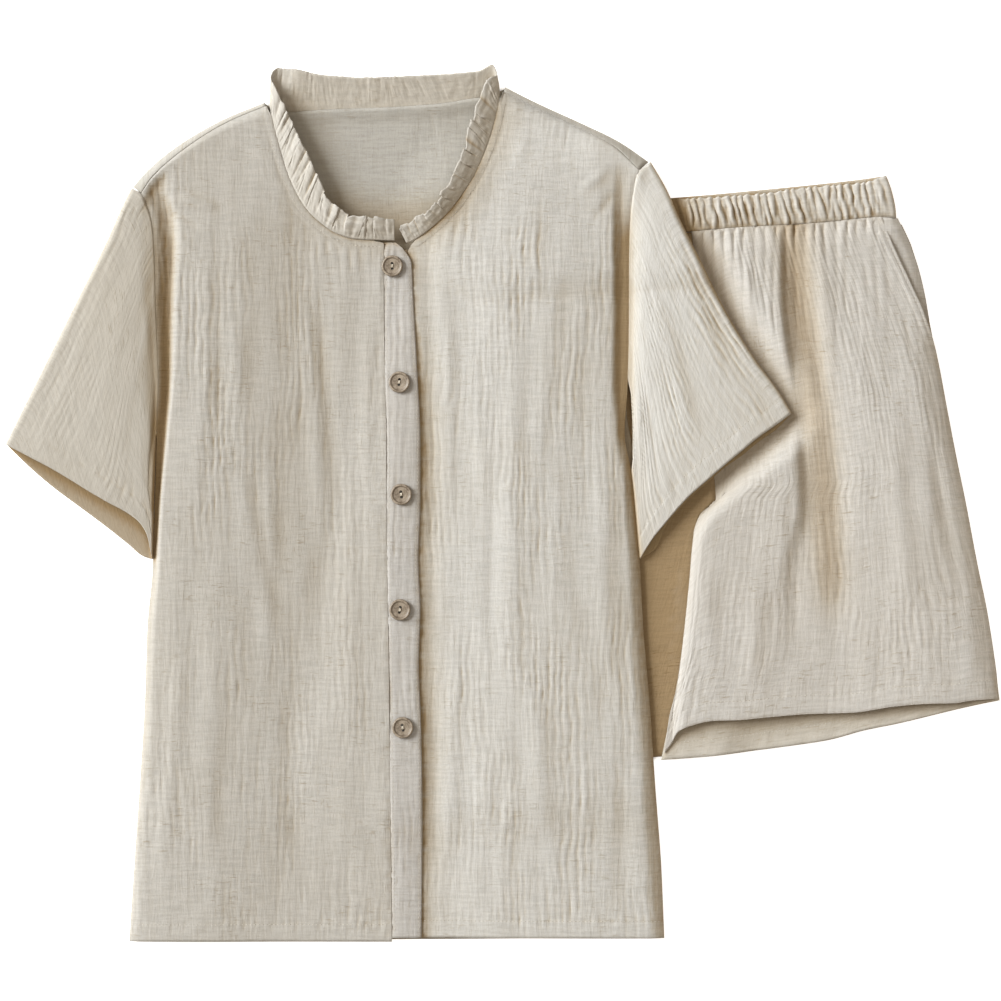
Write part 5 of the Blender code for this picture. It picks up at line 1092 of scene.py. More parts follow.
def fine_back():
    u_r, u_n, u_l = shares(110.0, 3.0), shares(190.0, 2.6), shares(125.0, 3.0)
    v = shares(690.0, 5.5)
    roll = tuple((0.7 + 0.3 * k / 3.0, 0.10 + 0.35 * smooth(k / 3.0)) for k in range(4)) + tuple(
        (1.0 + k / 8.0, 0.45 + 0.55 * math.sin(0.5 * math.pi * k / 8.0)) for k in range(1, 9)
    )
    flat, strips = shirt_back(u_r, u_n, u_l, v, roll)
    x, y = flat[..., 0], flat[..., 1]
    n_right, n_neck = len(u_r) - 1, len(u_n) - 1
    seen = flat[:, n_right + 2:n_right + n_neck - 1].copy()
    across_x = seen[-1, :, 0]
    over = smooth((across_x + 172.0) / 6.0) * smooth((-16.0 - across_x) / 6.0)
    close_seam(seen, "top", neck_seam(), 0.15 - 1.1 * over, 7.0, 24.0)
    flat[:, n_right + 2:n_right + n_neck - 1] = seen
    left, right, bottom, top = distances(flat)
    neck = smooth((x + 186.0) / 6.0) * smooth((0.0 - x) / 6.0) * smooth((y - 150.0) / 60.0)
    flat[..., 2] += neck * (0.22 + 0.26 * crinkle(x, y, 61) + 0.5 * np.maximum(undulation(x, y, 63), 0.0)) * smooth(top / 4.0)
    # the neck's allowance lies over the frill's seam
    flat[..., 2] += 2.3 * smooth((x + 178.0) / 6.0) * smooth((-10.0 - x) / 6.0) * smooth((y - 250.0) / 40.0) * (1.0 - smooth((top - 1.5) / 10.0))
    rows, columns = flat.shape[:2]
    points, uvs, quads = [flat.reshape(-1, 3)], [np.dstack([x, y]).reshape(-1, 2)], [np.array(grid_quads(rows, columns))]
    offset = rows * columns
    for where, strip in strips:
        ripple = 0.16 * noise(strip[..., 0] / 6.0, strip[..., 1] / 6.0, 64)
        strip[..., 2] += ripple * np.linspace(0.0, 1.0, strip.shape[0])[:, None]
        top_row = np.arange((rows - 1) * columns, rows * columns)[where]
        index = np.vstack([top_row, offset + np.arange(strip.shape[0] * strip.shape[1]).reshape(strip.shape[:2])])
        quads.append(np.array([
            (index[i, j], index[i, j + 1], index[i + 1, j + 1], index[i + 1, j])
            for i in range(len(index) - 1) for j in range(index.shape[1] - 1)
        ]))
        points.append(strip.reshape(-1, 3))
        run = np.cumsum(np.concatenate([np.zeros((1, strip.shape[1])), np.linalg.norm(np.diff(strip, axis=0), axis=2)]), axis=0)
        uvs.append(np.dstack([strip[..., 0], strip[..., 1] + run]).reshape(-1, 2))
        offset += strip.shape[0] * strip.shape[1]
    return np.concatenate(points), np.concatenate(quads), np.concatenate(uvs), [strip[-1] for _, strip in strips]


def fine_sleeve(side):
    u = shares(260.0, 2.0, 9.0)
    t = shares(215.0, 2.4)
    upper, lower = sleeve(side, u, t)
    body = front_r[:, 0] if side < 0 else front_l[:, -1]
    close_seam(upper, "bottom", body[body[:, 1] > 56.0], 0.1, 3.0, 8.0, 12.0)
    close_seam(upper, "bottom", body[body[:, 1] > 56.0], 0.08, 3.0, 4.0, 6.0)
    for half in (upper, lower):
        close_seam(half, "right", body[body[:, 1] < 56.0, :2], 0.8, 9.0 if side < 0 else 3.0, 16.0)
    lower[:, 0], lower[:, -1] = upper[:, 0], upper[:, -1]
    left, right, arm, cuff = distances(upper)
    x, y = upper[..., 0].copy(), upper[..., 1].copy()
    calm = smooth(left / 7.0) * smooth(right / 7.0) * smooth(arm / 5.0) * (0.4 + 0.6 * smooth(cuff / 16.0))
    bold = 0.4 if side < 0 else 0.8 + 0.85 * smooth((x - 112.0) / 50.0)
    z = calm * CRINKLE_H * bold * crinkle(left, arm, 71 if side < 0 else 81)
    z += calm * CRINKLE_H * (0.15 if side < 0 else 0.55) * crinkle(left + 3.1, arm, 87)
    z += calm * (0.3 if side < 0 else 0.7) * undulation(left, arm, 73 if side < 0 else 83)
    z += (0.4 if side < 0 else 0.8) * smooth(arm / 10.0) * smooth(cuff / 12.0) * smooth(left / 8.0) * smooth(right / 8.0) * creases(x, y, SLEEVE_CREASES)
    if side < 0:
        # more small crinkles near the shoulder
        z += 0.22 * smooth(arm / 5.0) * smooth((y - 150.0) / 60.0) * smooth(left / 8.0) * crinkle(left, arm, 77)
    at = 15.0
    z += hem(cuff, at, 0.2) + pucker(left, cuff, at, 75, 0.12)
    z += 0.15 * np.exp(-(((arm - 3.4) / 2.6) ** 2)) * smooth(arm / 1.6)
    upper[..., 2] += z * smooth(left / 3.0) * smooth(right / 3.0)
    uv_upper = np.dstack([left, arm])
    lleft, _, larm, _ = distances(lower)
    uv_lower = np.dstack([2.0 * left[:, -1:] - lleft + 0.0, larm])
    # the underside of the sleeve shows at the cuff only, and has half as many points
    under = np.r_[lower.shape[1] - 2:0:-2]
    ring = np.concatenate([upper, lower[:, under]], axis=1)
    uv = np.concatenate([uv_upper, uv_lower[:, under]], axis=1)
    # painted shade: darker low down beside the body, and over the underside where it shows at the cuff
    inner_edge_shade = smooth((52.0 - y) / 24.0) * smooth(1.0 - right / 10.0)
    ring_painted_shade = np.concatenate([0.9 * inner_edge_shade * (1.0 if side < 0 else 0.4), np.full(lower[:, under].shape[:2], 0.42)], axis=1)
    return ring, uv, upper, ring_painted_shade


def fine_placket(top):
    v = shares(556.0, 2.2)
    u = shares(24.0, 1.3)
    p = placket(v, u, top)
    left, right, bottom, over = distances(p)
    x, y = p[..., 0].copy(), p[..., 1].copy()
    if top:
        z = 0.9 * CRINKLE_H * smooth(left / 2.5) * smooth(right / 2.5) * smooth(over / 5.0) * crinkle(x, y, 91)
        z += 0.7 * undulation(x * 1.6, y, 93) * smooth(bottom / 12.0)
        z += -0.72 * np.exp(-((left / 2.2) ** 2)) - 0.6 * np.exp(-((right / 2.0) ** 2))
        z += groove(left, 2.4, 0.2) + groove(right, 2.4, 0.2) + pucker(y, right, 2.4, 94, 0.14)
        z += hem(bottom, 13.4, 0.25)
        z += -0.5 * np.exp(-((over / 2.0) ** 2)) + groove(over, 3.4, 0.2)
        for bx, by in BUTTONS:
            # the button pulls the placket in a little round it, and its hole runs down from it
            r = np.hypot(x - bx, y - by)
            z += -0.5 * np.exp(-((r / 9.0) ** 2)) + 0.25 * np.exp(-(((r - 13.0) / 4.0) ** 2))
        p[..., 2] += z
    return p, np.dstack([x, y])


def fine_leg(band):
    u = shares(262.0, GRID_ACROSS, 6.0)
    v = shares(430.0, GRID_ALONG, 5.0)
    p = shorts_left_front(u, v)
    close_seam(p, "top", band[0], 0.1, 3.0, 6.0, 16.0)
    close_seam(p, "top", band[0], 0.08, 3.0, 3.0, 6.0)
    left, right, bottom, top = distances(p)
    x, y = p[..., 0].copy(), p[..., 1].copy()
    width = (left + right)[:, :]
    cu, cv = left / width * 240.0, bottom
    calm = smooth(left / 6.0) * smooth(right / 6.0) * (0.4 + 0.6 * smooth((bottom - 2.0) / 14.0))
    z = calm * CRINKLE_H * 0.95 * crinkle(cu, cv, 101)
    z += calm * 1.1 * undulation(cu, cv, 103)
    z += smooth(left / 12.0) * smooth(right / 12.0) * smooth(bottom / 16.0) * creases(x, y, LEG_CREASES)
    # gathers under the waistband, of uneven length
    reach = 26.0 + 34.0 * (0.5 + 0.5 * noise(x / 13.0, 0.3 + 0.0 * x, 105))
    wave = 2.0 * np.abs(np.cos(math.pi * (x + 2.8 * noise(x / 19.0, top / 60.0, 106)) / 8.2)) ** 0.8 - 1.1
    wave = wave * (0.8 + 0.9 * noise(x / 12.0, top / 40.0, 108))
    z += 1.1 * wave * np.exp(-top / reach) * smooth(top / 3.0) * smooth(right / 10.0)
    z += 0.35 * noise(x / 2.6, top / 9.0, 109) * np.exp(-top / 7.0) * smooth(top / 2.0)
    z += hem(bottom, 15.2, 0.16) + pucker(x, bottom, 15.2, 107, 0.1)
    z += -0.5 * np.exp(-((bottom / 1.3) ** 2))
    # pocket mouth: two rows of stitches beside the slanted edge
    mouth = smooth((y - 128.0) / 8.0)
    z += mouth * (hem(right, 7.2, 0.5) + groove(right, 2.6, 0.25))
    # pocket bag stitched through, low on the hip
    line = 9.6 + 0.02 * (x - 300.0)
    z += groove(np.abs(y - line), 0.0, 0.3) * smooth((x - 262.0) / 6.0) * smooth((364.0 - x) / 5.0)
    p[..., 2] += z
    return p, np.dstack([cu, cv])


def fine_leg_back():
    u, v = shares(268.0, 3.3), shares(430.0, 3.8)
    p = shorts_left_back(u, v)
    left, right, bottom, top = distances(p)
    x = p[..., 0]
    # the turned hem allowance shows inside the leg, a little rumpled
    edge = 1.0 - smooth((bottom - 22.0) / 6.0)
    z = edge * (0.25 + 0.28 * crinkle(x, bottom, 111) + 0.5 * np.maximum(undulation(x * 1.6, bottom, 112), -0.2))
    z += edge * hem(bottom, 14.0, 0.5)
    z += 1.6 * np.exp(-((bottom / 5.0) ** 2)) * (0.55 + 0.45 * noise(x / 16.0, 0.0 * x, 113)) * smooth(left / 6.0)
    p[..., 2] += np.maximum(z, 0.0) * smooth(right / 4.0)
    return p, np.dstack([left, bottom])


def fine_right_leg(front, leg):
    u, v = shares(270.0, 4.6), shares(430.0, 5.5)
    p = shorts_right(u, v, front)
    inner = leg[leg[:, 0, 1] > 3.5, 0]
    high = v > 0.62
    upper_part = p[high]
    if front:
        close_seam(upper_part, "right", inner[:, :2], 0.12, 3.5, 6.0)
        _, right, _, _ = distances(upper_part)
        top_y, top_z = inner[:, 1], inner[:, 2]
        step = np.interp(upper_part[:, -1, 1], top_y, top_z) - upper_part[:, -1, 2]
        clear = smooth((outside(upper_part[..., 0], upper_part[..., 1], SHIRT_OUTLINE) - 1.5) / 9.0)
        upper_part[..., 2] += step[:, None] * smooth(1.0 - right / 26.0) * clear * smooth((upper_part[..., 1] + 12.0) / 14.0)
    p = np.concatenate([p[~high], upper_part])
    left, right, bottom, top = distances(p)
    if front:
        x, y = p[..., 0], p[..., 1]
        free = smooth((x - 100.0) / 10.0) * smooth((2.0 - y) / 14.0) * smooth(right / 4.0)
        p[..., 2] += free * 0.12 * crinkle(x, y, 121)
    # painted shadow: beside the shirt it is painted darker, as in the shirt's and the sleeve's shadow
    x, y = p[..., 0], p[..., 1]
    shadow = smooth((x - 90.0) / 20.0) * (0.62 + 0.3 * smooth((y + 150.0) / 140.0)) if front else 0.0 * x
    return p, np.dstack([left, bottom]), shadow


def fine_pocket(table, band):
    u, v = shares(30.0, 1.8), shares(84.0, 2.4)
    p = pocket(table, u, v, WALL + LAYER_GAP)
    if table is POCKET_LEFT:
        # the facing comes up to the mouth's edge from below, and to the band above
        close_seam(p, "top", band[0], 0.15, 9.0, 16.0, 24.0)
        left, right, bottom, top = distances(p)
        p[..., 2] += 3.2 * smooth((right + 2.0) / 9.0) * smooth(bottom / 24.0) * smooth(top / 12.0)
    x, y = p[..., 0], p[..., 1]
    return p, np.dstack([x, y])


def fine_band():
    count = 470
    u = np.unique(np.concatenate([np.linspace(0.0, 1.0, count), np.array((0.001, 0.002, 0.004, 0.006)), 1.0 - np.array((0.001, 0.002, 0.004, 0.006))]))
    v = np.linspace(0.0, 1.0, 15)
    length = 330.0
    upper, lower = waistband(u, v, np.zeros(len(u)))
    left, right, bottom, top = distances(upper)
    x, y = upper[..., 0].copy(), upper[..., 1].copy()
    free = smooth(outside(x, y, SHIRT_OUTLINE) / 8.0)
    # gathers of uneven width, fullest between the elastic's two edges
    lean = 0.11 * (bottom - 13.0) * (1.0 + 0.9 * noise(left / 40.0, 0.0 * left, 135))
    drift = 3.2 * noise(left / 19.0, 0.0 * left, 131) + 1.5 * noise(left / 8.0, bottom / 11.0, 132)
    phase = 2.0 * math.pi * (left + drift + lean) / 6.2
    fold = 2.0 * np.abs(np.cos(0.5 * phase)) ** 0.8 - 1.1 + 0.25 * np.sin(2.0 * phase + 0.8)
    depth = 0.66 + 0.8 * noise(left / 8.0, bottom / 22.0, 133)
    calm = smooth(right / 18.0) * smooth(left / 5.0)
    bulge = 0.45 + 0.55 * np.sin(math.pi * np.clip(v[:, None] * 1.0, 0, 1))
    z = 1.35 * fold * depth * bulge * calm * (0.3 + 0.7 * free)
    z += (0.5 * noise(left / 3.0, bottom / 7.0, 134) + 0.35 * noise(left / 1.9, bottom / 3.4, 136)) * calm * free
    z += (groove(bottom, 2.2, 0.35, 0.9) + groove(top, 3.2, 0.4, 1.0)) * (0.4 + 0.6 * free)
    upper[..., 2] += z * smooth(left / 3.0) * smooth(right / 3.0)
    scallop = 0.55 * np.sin(phase + 0.5) * calm * free * smooth((v[:, None] - 0.5) / 0.5)
    upper[..., 1] += scallop
    ring = np.concatenate([upper, lower[:, -2:0:-1]], axis=1)
    uv_lower = np.dstack([2.0 * left[:, -1:] - distances(lower)[0], distances(lower)[2]])
    uv = np.concatenate([np.dstack([left, bottom]), uv_lower[:, -2:0:-1]], axis=1)
    return ring, uv, upper


def fine_ruffle():
    """The frill: gathered small along its seam, and flaring into uneven flutes that lean over at its free edge."""
    rows = np.array(RUFFLE)
    dense = np.linspace(0.0, 1.0, 400)
    base = neck_seam()
    run = np.concatenate([[0.0], np.cumsum(np.linalg.norm(np.diff(base, axis=0), axis=1))])
    total = run[-1]
    random = np.random.default_rng(12)
    widths = []
    while sum(widths) < total:
        back = 196.0 < sum(widths) < 372.0
        widths.append(random.uniform(4.5, 12.0) if not back else random.uniform(9.0, 16.0))
    widths = np.array(widths) * total / sum(widths)
    starts = np.concatenate([[0.0], np.cumsum(widths)])
    count = len(widths)
    # for each flute: how high it stands, how far it leans over, how it slants and how far its edge comes out
    high = random.uniform(0.35, 1.15, count + 1)
    over = random.uniform(0.2, 0.5, count + 1) * np.where(random.uniform(0.0, 1.0, count + 1) < 0.28, -1.0, 1.0)
    slants = random.uniform(-2.2, 2.2, count + 1)
    out_by = random.uniform(-2.6, 1.4, count + 1)
    s_mm = np.linspace(0.0, total, int(total / 0.8))
    k = np.clip(np.searchsorted(starts, s_mm, side="right") - 1, 0, count - 1)
    share = (s_mm - starts[k]) / widths[k]
    arch = np.sin(math.pi * np.clip(share, 0.0, 1.0))
    crest = arch**0.34 * high[k] * (1.0 - 0.35 * share)
    shift = widths[k] * over[k] * arch
    slant = slants[k] * (1.0 - share) + slants[k + 1] * share
    ends = smooth(s_mm / 6.0) * smooth((total - s_mm) / 6.0)
    corner_r = np.exp(-(((s_mm / total - 0.342) / 0.014) ** 2))
    corner_l = np.exp(-(((s_mm / total - 0.712) / 0.014) ** 2))
    behind = smooth((s_mm / total - 0.35) / 0.02) * (1.0 - smooth((s_mm / total - 0.69) / 0.02))
    calm = (1.0 - 0.8 * corner_r) * (1.0 - 0.8 * corner_l)
    crest = (crest - 0.35) * ends * calm * (1.0 - 0.78 * behind)
    shift = shift * ends * calm * (1.0 - 0.8 * behind)
    slant = slant * ends * calm * (1.0 - 0.5 * behind)
    edge = out_by[k] * arch * (1.0 - 0.8 * behind) * calm
    gathers = (np.abs(np.cos(math.pi * (s_mm / 3.1 + 0.6 * noise(s_mm / 9.0, 0.0 * s_mm, 141)))) - 0.5) * (1.0 - 0.3 * behind)
    w = np.linspace(0.0, 1.0, 15)

    def at(mm):
        share_of = np.interp(mm, run, dense)
        low = np.stack([monotone(share_of, rows[:, 0], rows[:, i]) for i in (1, 2, 3)], axis=-1)
        high_line = np.stack([monotone(share_of, rows[:, 0], rows[:, i]) for i in (4, 5, 6)], axis=-1)
        lift = support(low[..., 0], low[..., 1])
        low[..., 2] += lift
        high_line[..., 2] += lift
        return low, high_line

    grid, flute_painted_shade = [], []
    for row in w:
        g = 0.12 + 0.88 * smooth(row / 0.7)
        low, high_line = at(np.clip(s_mm + shift * g + slant * row, 0.0, total))
        p = low + (high_line - low) * row
        # the strip bellies up between its seam and its free edge, and its edge turns in and out of line
        p[:, 2] += crest * 2.6 * g + 0.4 * math.sin(math.pi * row) * (1.0 - behind) + 3.2 * row**1.3 * behind
        p[:, 2] += gathers * 0.6 * (1.0 - row) ** 1.2 * smooth(row / 0.2) * (1.0 - 0.8 * behind)
        p[:, 2] += (0.55 * noise(s_mm / 3.4, row * 17.0 / 4.2 + 0.0 * s_mm, 143) + 0.3 * noise(s_mm / 1.9, row * 17.0 / 2.2 + 0.0 * s_mm, 144)) * smooth(row / 0.2) * (1.0 - 0.6 * behind)
        out = (high_line - low) / np.maximum(np.linalg.norm(high_line - low, axis=1, keepdims=True), 1e-6)
        p += out * ((1.1 * crest - 0.2 + edge) * row**2)[:, None]
        p += out * (0.9 * noise(s_mm / 2.6, 0.0 * s_mm, 142) * row * (1.0 - 0.7 * behind))[:, None]
        grid.append(p)
        # painted shade: darker in the low flutes and on the part of the frill behind the neck
        flute_painted_shade.append(0.12 * behind + 0.6 * g * smooth((-0.05 - crest) / 0.25) * (1.0 - behind))
    grid = np.array(grid)
    uv = np.dstack([np.broadcast_to(s_mm * 1.45, grid.shape[:2]), np.broadcast_to((w * 17.0)[:, None], grid.shape[:2])])
    return grid, uv, np.array(flute_painted_shade)


# ---------------------------------------------------------------- nodes
class Tree:
    """A short way to write a material's nodes."""

    def __init__(self, name):
        self.material = bpy.data.materials.new(name)
        self.material.use_nodes = True
        self.nodes = self.material.node_tree.nodes
        self.links = self.material.node_tree.links
        self.shader = self.nodes["Principled BSDF"]

    def add(self, kind, **settings):
        node = self.nodes.new(kind)
        for key, value in settings.items():
            if key.startswith("in_"):
                node.inputs[int(key[3:])].default_value = value
            else:
                setattr(node, key, value)
        return node

    def link(self, a, b):
        self.links.new(a, b)
        return b

    def uv(self):
        return self.add("ShaderNodeUVMap", uv_map="cloth").outputs[0]

    def scaled(self, vector, scale, offset=(0.0, 0.0, 0.0)):
        node = self.add("ShaderNodeMapping")
        node.inputs["Scale"].default_value = scale
        node.inputs["Location"].default_value = offset
        self.link(vector, node.inputs["Vector"])
        return node.outputs[0]

    def noise(self, vector, scale=1.0, detail=2.0, roughness=0.5, distortion=0.0):
        node = self.add("ShaderNodeTexNoise", noise_dimensions="2D")
        node.inputs["Scale"].default_value = scale
        node.inputs["Detail"].default_value = detail
        node.inputs["Roughness"].default_value = roughness
        node.inputs["Distortion"].default_value = distortion
        self.link(vector, node.inputs["Vector"])
        return node.outputs["Fac"]

    def math(self, operation, a, b=None, clamp=False):
        node = self.add("ShaderNodeMath", operation=operation, use_clamp=clamp)
        for i, value in enumerate((a, b)):
            if value is None:
                continue
            if isinstance(value, (int, float)):
                node.inputs[i].default_value = value
            else:
                self.link(value, node.inputs[i])
        return node.outputs[0]

    def ramp(self, value, low, high, to_low=0.0, to_high=1.0, smoothly=True):
        node = self.add("ShaderNodeMapRange", interpolation_type="SMOOTHSTEP" if smoothly else "LINEAR")
        for i, v in enumerate((None, low, high, to_low, to_high)):
            if v is not None:
                node.inputs[i].default_value = v
        self.link(value, node.inputs[0])
        return node.outputs[0]

    def mix(self, factor, a, b, mode="MIX"):
        node = self.add("ShaderNodeMix", data_type="RGBA", blend_type=mode)
        for i, value in ((0, factor), (6, a), (7, b)):
            if isinstance(value, (int, float, tuple)):
                node.inputs[i].default_value = value
            else:
                self.link(value, node.inputs[i])
        return node.outputs[2]

    def bump(self, height, distance, strength=1.0, normal=None):
        node = self.add("ShaderNodeBump")
        node.inputs["Strength"].default_value = strength
        node.inputs["Distance"].default_value = distance
        self.link(height, node.inputs["Height"])
        if normal is not None:
            self.link(normal, node.inputs["Normal"])
        return node.outputs[0]


def gauze(name, colour, painted_fold_shade, crinkled=1.0, fleck=1.0, shift=0.0):
    """Double gauze: a loose weave of slubby undyed threads, crinkled along the warp, with painted shade that makes it
    darker and warmer in its folds and between its fine crinkles.
    """
    t = Tree(name)
    uv = t.uv()
    at = (shift, shift * 0.7, 0.0)
    # threads: short streaks along and across
    warp = t.noise(t.scaled(uv, (540.0, 42.0, 1.0), at), 1.0, 2.5, 0.62)
    weft = t.noise(t.scaled(uv, (48.0, 460.0, 1.0), at), 1.0, 2.5, 0.62)
    grain = t.noise(t.scaled(uv, (620.0, 620.0, 1.0), at), 1.0, 2.0, 0.6)
    # fine crinkle between the modelled ridges
    wander = t.noise(t.scaled(uv, (60.0, 34.0, 1.0), at), 1.0, 1.0)
    bent = t.add("ShaderNodeCombineXYZ")
    split = t.add("ShaderNodeSeparateXYZ")
    t.link(uv, split.inputs[0])
    t.link(t.math("ADD", split.outputs[0], t.math("MULTIPLY", wander, 0.0022)), bent.inputs[0])
    t.link(split.outputs[1], bent.inputs[1])
    fine = t.noise(t.scaled(bent.outputs[0], (215.0, 30.0, 1.0), at), 1.0, 2.0, 0.6)
    ridge = t.math("SUBTRACT", 1.0, t.math("MULTIPLY", t.math("ABSOLUTE", t.math("SUBTRACT", fine, 0.5)), 5.0), clamp=True)
    # slubs: darker thick threads, mostly across
    slub_across = t.ramp(t.noise(t.scaled(uv, (90.0, 560.0, 1.0), at), 1.0, 2.0, 0.55), 0.57, 0.8)
    slub_along = t.ramp(t.noise(t.scaled(uv, (620.0, 90.0, 1.0), at), 1.0, 2.0, 0.55), 0.6, 0.8)
    where = t.ramp(t.noise(t.scaled(uv, (16.0, 22.0, 1.0), at), 1.0, 2.0, 0.6), 0.4, 0.66, 0.25, 1.0)
    slub = t.math("MULTIPLY", t.math("MAXIMUM", slub_across, t.math("MULTIPLY", slub_along, 0.7)), where)
    light = t.mix(t.ramp(weft, 0.3, 0.7), (*[c * 0.9 for c in colour], 1.0), (*[min(c * 1.08, 1.0) for c in colour], 1.0))
    light = t.mix(t.ramp(warp, 0.3, 0.7, 0.0, 0.45), light, (*[min(c * 1.09, 1.0) for c in colour], 1.0))
    light = t.mix(t.ramp(grain, 0.5, 0.74, 0.0, 0.35), light, (colour[0] * 0.8, colour[1] * 0.76, colour[2] * 0.7, 1.0))
    cloudy = t.noise(t.scaled(uv, (9.0, 6.0, 1.0), at), 1.0, 2.0, 0.5)
    light = t.mix(t.ramp(cloudy, 0.35, 0.7, 0.0, 0.3), light, (colour[0] * 0.93, colour[1] * 0.9, colour[2] * 0.85, 1.0))
    light = t.mix(t.math("MULTIPLY", slub, 0.5 * fleck), light, (colour[0] * 0.6, colour[1] * 0.51, colour[2] * 0.37, 1.0))
    # painted shade: darker and warmer between the fine crinkle's ridges
    light = t.mix(t.ramp(ridge, 0.0, 0.9, 0.16 * crinkled, 0.0), light, (colour[0] * 0.84, colour[1] * 0.79, colour[2] * 0.7, 1.0))
    # painted shade in the folds: each point's fold value darkens and warms the colour, slightly at first and then
    # strongly
    shade = t.add("ShaderNodeAttribute", attribute_name="painted_fold_shade").outputs["Fac"]
    slight = t.mix(1.0, light, (0.95, 0.9, 0.82, 1.0), "MULTIPLY")
    strong = t.mix(1.0, light, (*painted_fold_shade, 1.0), "MULTIPLY")
    colour_out = t.mix(t.ramp(shade, 0.25, 1.0, smoothly=False), t.mix(t.ramp(shade, 0.0, 0.35, smoothly=False), light, slight), strong)
    t.link(colour_out, t.shader.inputs["Base Color"])
    height = t.math("ADD", t.math("MULTIPLY", ridge, 0.3 * crinkled), t.math("MULTIPLY", weft, 0.3))
    height = t.math("ADD", height, t.math("MULTIPLY", warp, 0.26))
    height = t.math("ADD", height, t.math("MULTIPLY", slub, 0.3))
    t.link(t.bump(height, 0.00028, 1.0), t.shader.inputs["Normal"])
    rough = t.ramp(grain, 0.3, 0.8, 0.86, 0.98)
    t.link(rough, t.shader.inputs["Roughness"])
    t.shader.inputs["Sheen Weight"].default_value = 0.12
    t.shader.inputs["Sheen Roughness"].default_value = 0.5
    t.shader.inputs["Specular IOR Level"].default_value = 0.2
    return t.material


def thread(name, colour):
    t = Tree(name)
    coordinates = t.add("ShaderNodeTexCoord").outputs["Object"]
    twist = t.add("ShaderNodeTexWave", wave_type="BANDS", bands_direction="DIAGONAL")
    twist.inputs["Scale"].default_value = 900.0
    t.link(coordinates, twist.inputs["Vector"])
    t.link(t.mix(t.ramp(twist.outputs["Fac"], 0.2, 0.9), (*[c * 0.82 for c in colour], 1.0), (*colour, 1.0)), t.shader.inputs["Base Color"])
    t.link(t.bump(twist.outputs["Fac"], 0.0001, 0.6), t.shader.inputs["Normal"])
    t.shader.inputs["Roughness"].default_value = 0.75
    return t.material


def horn(name):
    """Mottled brown button stuff, satin, with paler flecks."""
    t = Tree(name)
    at = t.add("ShaderNodeTexCoord").outputs["Object"]
    node = t.add("ShaderNodeTexNoise")
    node.inputs["Scale"].default_value = 260.0
    node.inputs["Detail"].default_value = 4.0
    node.inputs["Roughness"].default_value = 0.65
    t.link(at, node.inputs["Vector"])
    fine = t.add("ShaderNodeTexNoise")
    fine.inputs["Scale"].default_value = 1500.0
    fine.inputs["Detail"].default_value = 2.0
    t.link(at, fine.inputs["Vector"])
    colour = t.mix(t.ramp(node.outputs["Fac"], 0.34, 0.66), (0.14, 0.108, 0.078, 1.0), (0.31, 0.258, 0.2, 1.0))
    colour = t.mix(t.ramp(fine.outputs["Fac"], 0.5, 0.72, 0.0, 0.6), colour, (0.42, 0.36, 0.29, 1.0))
    # painted shade: the holes are painted near black inside, and the turned groove inside the rim is painted darker
    split = t.add("ShaderNodeSeparateXYZ")
    t.link(at, split.inputs[0])
    across = t.math("MULTIPLY", split.outputs[0], split.outputs[0])
    y_from = t.math("SUBTRACT", t.math("ABSOLUTE", split.outputs[1]), 0.002)
    r_hole = t.math("SQRT", t.math("ADD", across, t.math("MULTIPLY", y_from, y_from)))
    r_face = t.math("SQRT", t.math("ADD", across, t.math("MULTIPLY", split.outputs[1], split.outputs[1])))
    colour = t.mix(t.ramp(r_hole, 0.00112, 0.00128, 1.0, 0.0), colour, (0.02, 0.014, 0.01, 1.0))
    groove_painted_shade = t.math("MULTIPLY", t.ramp(r_face, 0.0057, 0.0063), t.ramp(r_face, 0.0066, 0.0071, 1.0, 0.0))
    colour = t.mix(t.math("MULTIPLY", groove_painted_shade, 0.6), colour, (0.09, 0.062, 0.04, 1.0))
    # painted shade: darker round the button's outer edge
    colour = t.mix(t.ramp(r_face, 0.0083, 0.0086, 0.0, 0.7), colour, (0.1, 0.07, 0.05, 1.0))
    t.link(colour, t.shader.inputs["Base Color"])
    t.link(t.ramp(node.outputs["Fac"], 0.3, 0.7, 0.34, 0.52), t.shader.inputs["Roughness"])
    t.link(t.bump(fine.outputs["Fac"], 0.00015, 0.4), t.shader.inputs["Normal"])
    return t.material


# ---------------------------------------------------------------- building
def grid_quads(rows, columns, closed=False):
    i, j = np.meshgrid(np.arange(rows - 1), np.arange(columns if closed else columns - 1), indexing="ij")
    n = (j + 1) % columns
    return np.stack([i * columns + j, i * columns + n, (i + 1) * columns + n, (i + 1) * columns + j], axis=-1).reshape(-1, 4)


SHEETS = []


# shade scales and extra adds to each point's painted shade
def sheet(name, points, quads, uv, wall, look, flip=False, slot="gauze", shade=1.0, extra=0.0):
    SHEETS.append({
        "name": name, "points": np.asarray(points, float), "quads": np.asarray(quads), "uv": np.asarray(uv, float),
        "wall": wall, "look": look, "flip": flip, "slot": slot, "shade": shade, "extra": np.ravel(extra),
    })


def grid_sheet(name, grid, uv, wall, look, flip=False, closed=False, slot="gauze", shade=1.0, extra=0.0):
    rows, columns = grid.shape[:2]
    sheet(name, grid.reshape(-1, 3), grid_quads(rows, columns, closed), uv.reshape(-1, 2), wall, look, flip, slot, shade, extra)


def height_map(cell=2.0):
    """The height of the highest surface over each cell of the layout."""
    nx, ny = int(820 / cell), int(730 / cell)
    top = np.zeros((ny, nx))
    for s in SHEETS:
        p = s["points"]
        ix = np.clip(((p[:, 0] + 410.0) / cell).astype(int), 0, nx - 1)
        iy = np.clip(((p[:, 1] + 365.0) / cell).astype(int), 0, ny - 1)
        np.maximum.at(top, (iy, ix), p[:, 2] + s["wall"] / 2)
    around = np.stack([np.roll(np.roll(top, a, 0), b, 1) for a in (-1, 0, 1) for b in (-1, 0, 1)])
    filled = np.where(top == 0.0, np.median(around, axis=0), top)
    return filled


